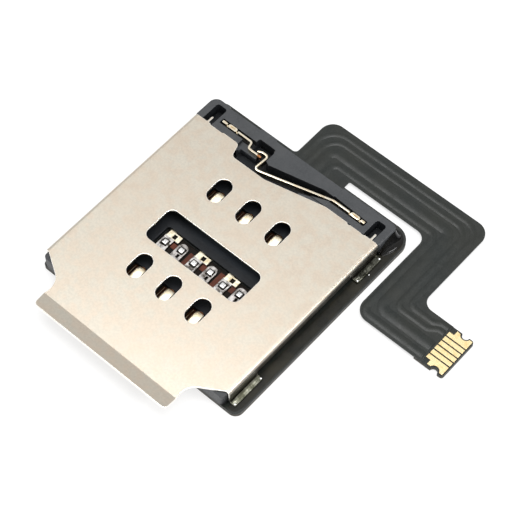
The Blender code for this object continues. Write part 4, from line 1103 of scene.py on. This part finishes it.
def make_sealant():
    """The bead round the rear right corner, and the thin skin on the film beside the socket."""
    wall, rear, radius, start, steps = 8.07, 9.44, 0.42, 7.57, 24
    path = [(wall, start + (rear - radius - start) * i / steps) for i in range(steps)]
    path += arc(wall - radius, rear - radius, radius, 0.0, pi / 2)
    path += [(wall - radius - 0.30 * i / 3, rear) for i in range(1, 4)]
    seal = bead("sealant_bead", path, 0.64, 1.02, FLOOR_BOTTOM, 0.35, fillet_section(1.8), 0.50)
    place(seal, "sealant", sealant, ["corner_sealant"])
    skin = rounded([(8.03, -7.20, 0.0), (8.62, -7.20, 0.35), (8.80, -6.6, 0.3), (8.80, 9.2, 1.0),
                    (8.10, 9.80, 0.3), (7.2, 9.80, 0.0), (7.2, rear, 0.0), (8.03, rear, 0.0)])
    # The skin's dark colour is sealant, darkened as painted shade beside the right wall.
    slab("ledge_sealant_painted_shade", skin, FILM_TOP - 0.01, FILM_TOP + 0.018, 0.010, "sealant", ledge_sealant_painted_shade)


make_cover_sheet()
make_housing()
make_switch()
for number, x, y, path in contact_layout():
    make_tongue(number, x, y)
    make_lead(number, y, path)
    make_slot_film(number, x, y)
make_amber_strips()
make_film()
make_trace_ribs()
make_plates()
make_fingers()
make_foot_solder()
make_sealant()


# Camera, floor and light

WHITE = (1.0, 1.0, 1.0, 1.0)


def make_camera():
    azimuth, elevation, roll = radians(-42.72), radians(58.66), radians(-1.39)
    distance = 0.1176
    target = Vector((0.00325, 0.00153, 0.00167))
    forward = Vector((sin(azimuth) * cos(elevation), cos(azimuth) * cos(elevation), -sin(elevation)))
    level = Vector((cos(azimuth), -sin(azimuth), 0.0))
    upward = level.cross(forward)
    right = cos(roll) * level + sin(roll) * upward
    up = -sin(roll) * level + cos(roll) * upward
    data = configure(bpy.data.cameras.new("camera"), sensor_width=36.0, lens=125.71, clip_start=0.001,
                     clip_end=10.0)
    item = add_object("camera", data)
    turn = Matrix((right, up, -forward)).transposed().to_4x4()
    item.matrix_world = Matrix.Translation(target - forward * distance) @ turn
    bpy.context.scene.camera = item


def cleared_tree(owner):
    """The node tree of a material or world, emptied."""
    owner.use_nodes = True
    owner.node_tree.nodes.clear()
    return owner.node_tree


def seen_directly(tree):
    """A value of 1 for camera, glossy and transmission rays and 0 for others."""
    rays = add_node(tree, "LightPath").outputs
    value = rays["Is Camera Ray"]
    for kind in ("Is Glossy Ray", "Is Transmission Ray"):
        either = configure(add_node(tree, "Math"), operation="MAXIMUM")
        tree.links.new(value, either.inputs[0])
        tree.links.new(rays[kind], either.inputs[1])
        value = either.outputs[0]
    return value


def mix_shaders(tree, share, first, second, kind):
    """Ends a material's or world's tree in a mix of two shaders."""
    mix = add_node(tree, "MixShader")
    tree.links.new(share, mix.inputs["Fac"])
    tree.links.new(first.outputs[0], mix.inputs[1])
    tree.links.new(second.outputs[0], mix.inputs[2])
    tree.links.new(mix.outputs["Shader"], add_node(tree, kind).inputs["Surface"])


def make_floor():
    """A matt pale floor, which looks lighter where it is seen or mirrored."""
    half = 900.0
    bm = bmesh.new()
    bm.faces.new([bm.verts.new((x, y, 0.0)) for x, y in around(0.0, 0.0, half, half)])
    floor = linked("floor", bm)
    material = bpy.data.materials.new("floor")
    tree = cleared_tree(material)
    matt = add_node(tree, "BsdfDiffuse", Color=(0.90, 0.90, 0.90, 1.0))
    glow = add_node(tree, "Emission", Color=WHITE, Strength=1.24)
    share = configure(add_node(tree, "Math"), operation="MULTIPLY")
    share.inputs[1].default_value = 0.58
    tree.links.new(seen_directly(tree), share.inputs[0])
    mix_shaders(tree, share.outputs[0], matt, glow, "OutputMaterial")
    floor.data.materials.append(material)


def make_world():
    """A soft even light, with a pale sky that is brighter overhead where it is seen or mirrored."""
    world = bpy.data.worlds.new("world")
    tree = cleared_tree(world)
    light = add_node(tree, "Background", Color=WHITE, Strength=0.50)
    sky = add_node(tree, "Background", Color=WHITE)
    axes = add_node(tree, "SeparateXYZ")
    tree.links.new(add_node(tree, "TexCoord").outputs["Generated"], axes.inputs["Vector"])
    height = add_node(tree, "MapRange", From_Min=0.0, From_Max=0.85, To_Min=0.80, To_Max=0.88)
    tree.links.new(axes.outputs["Z"], height.inputs["Value"])
    tree.links.new(height.outputs["Result"], sky.inputs["Strength"])
    mix_shaders(tree, seen_directly(tree), light, sky, "OutputWorld")
    bpy.context.scene.world = world


def make_lamp(name, toward, distance, side, width, depth, radiance):
    """A softbox at a distance from the part, facing it, with its width along the given side."""
    data = configure(bpy.data.lights.new(name, "AREA"), shape="RECTANGLE", size=width, size_y=depth,
                     energy=radiance * pi * width * depth)
    item = add_object(name, data)
    toward = Vector(toward).normalized()
    along = toward.cross(Vector(side)).normalized()
    turn = Matrix((along.cross(toward), along, toward)).transposed().to_4x4()
    item.matrix_world = Matrix.Translation(toward * distance) @ turn


make_camera()
make_floor()
make_world()
make_lamp("strip", (0.80, 0.14, 0.58), 0.60, (-0.50, 0.86, 0.0), 0.28, 0.05, 26.0)
make_lamp("overhead", (0.04, 0.03, 1.0), 0.60, (1.0, 0.0, 0.0), 0.60, 0.30, 3.7)
bpy.context.scene.view_settings.view_transform = "Standard"
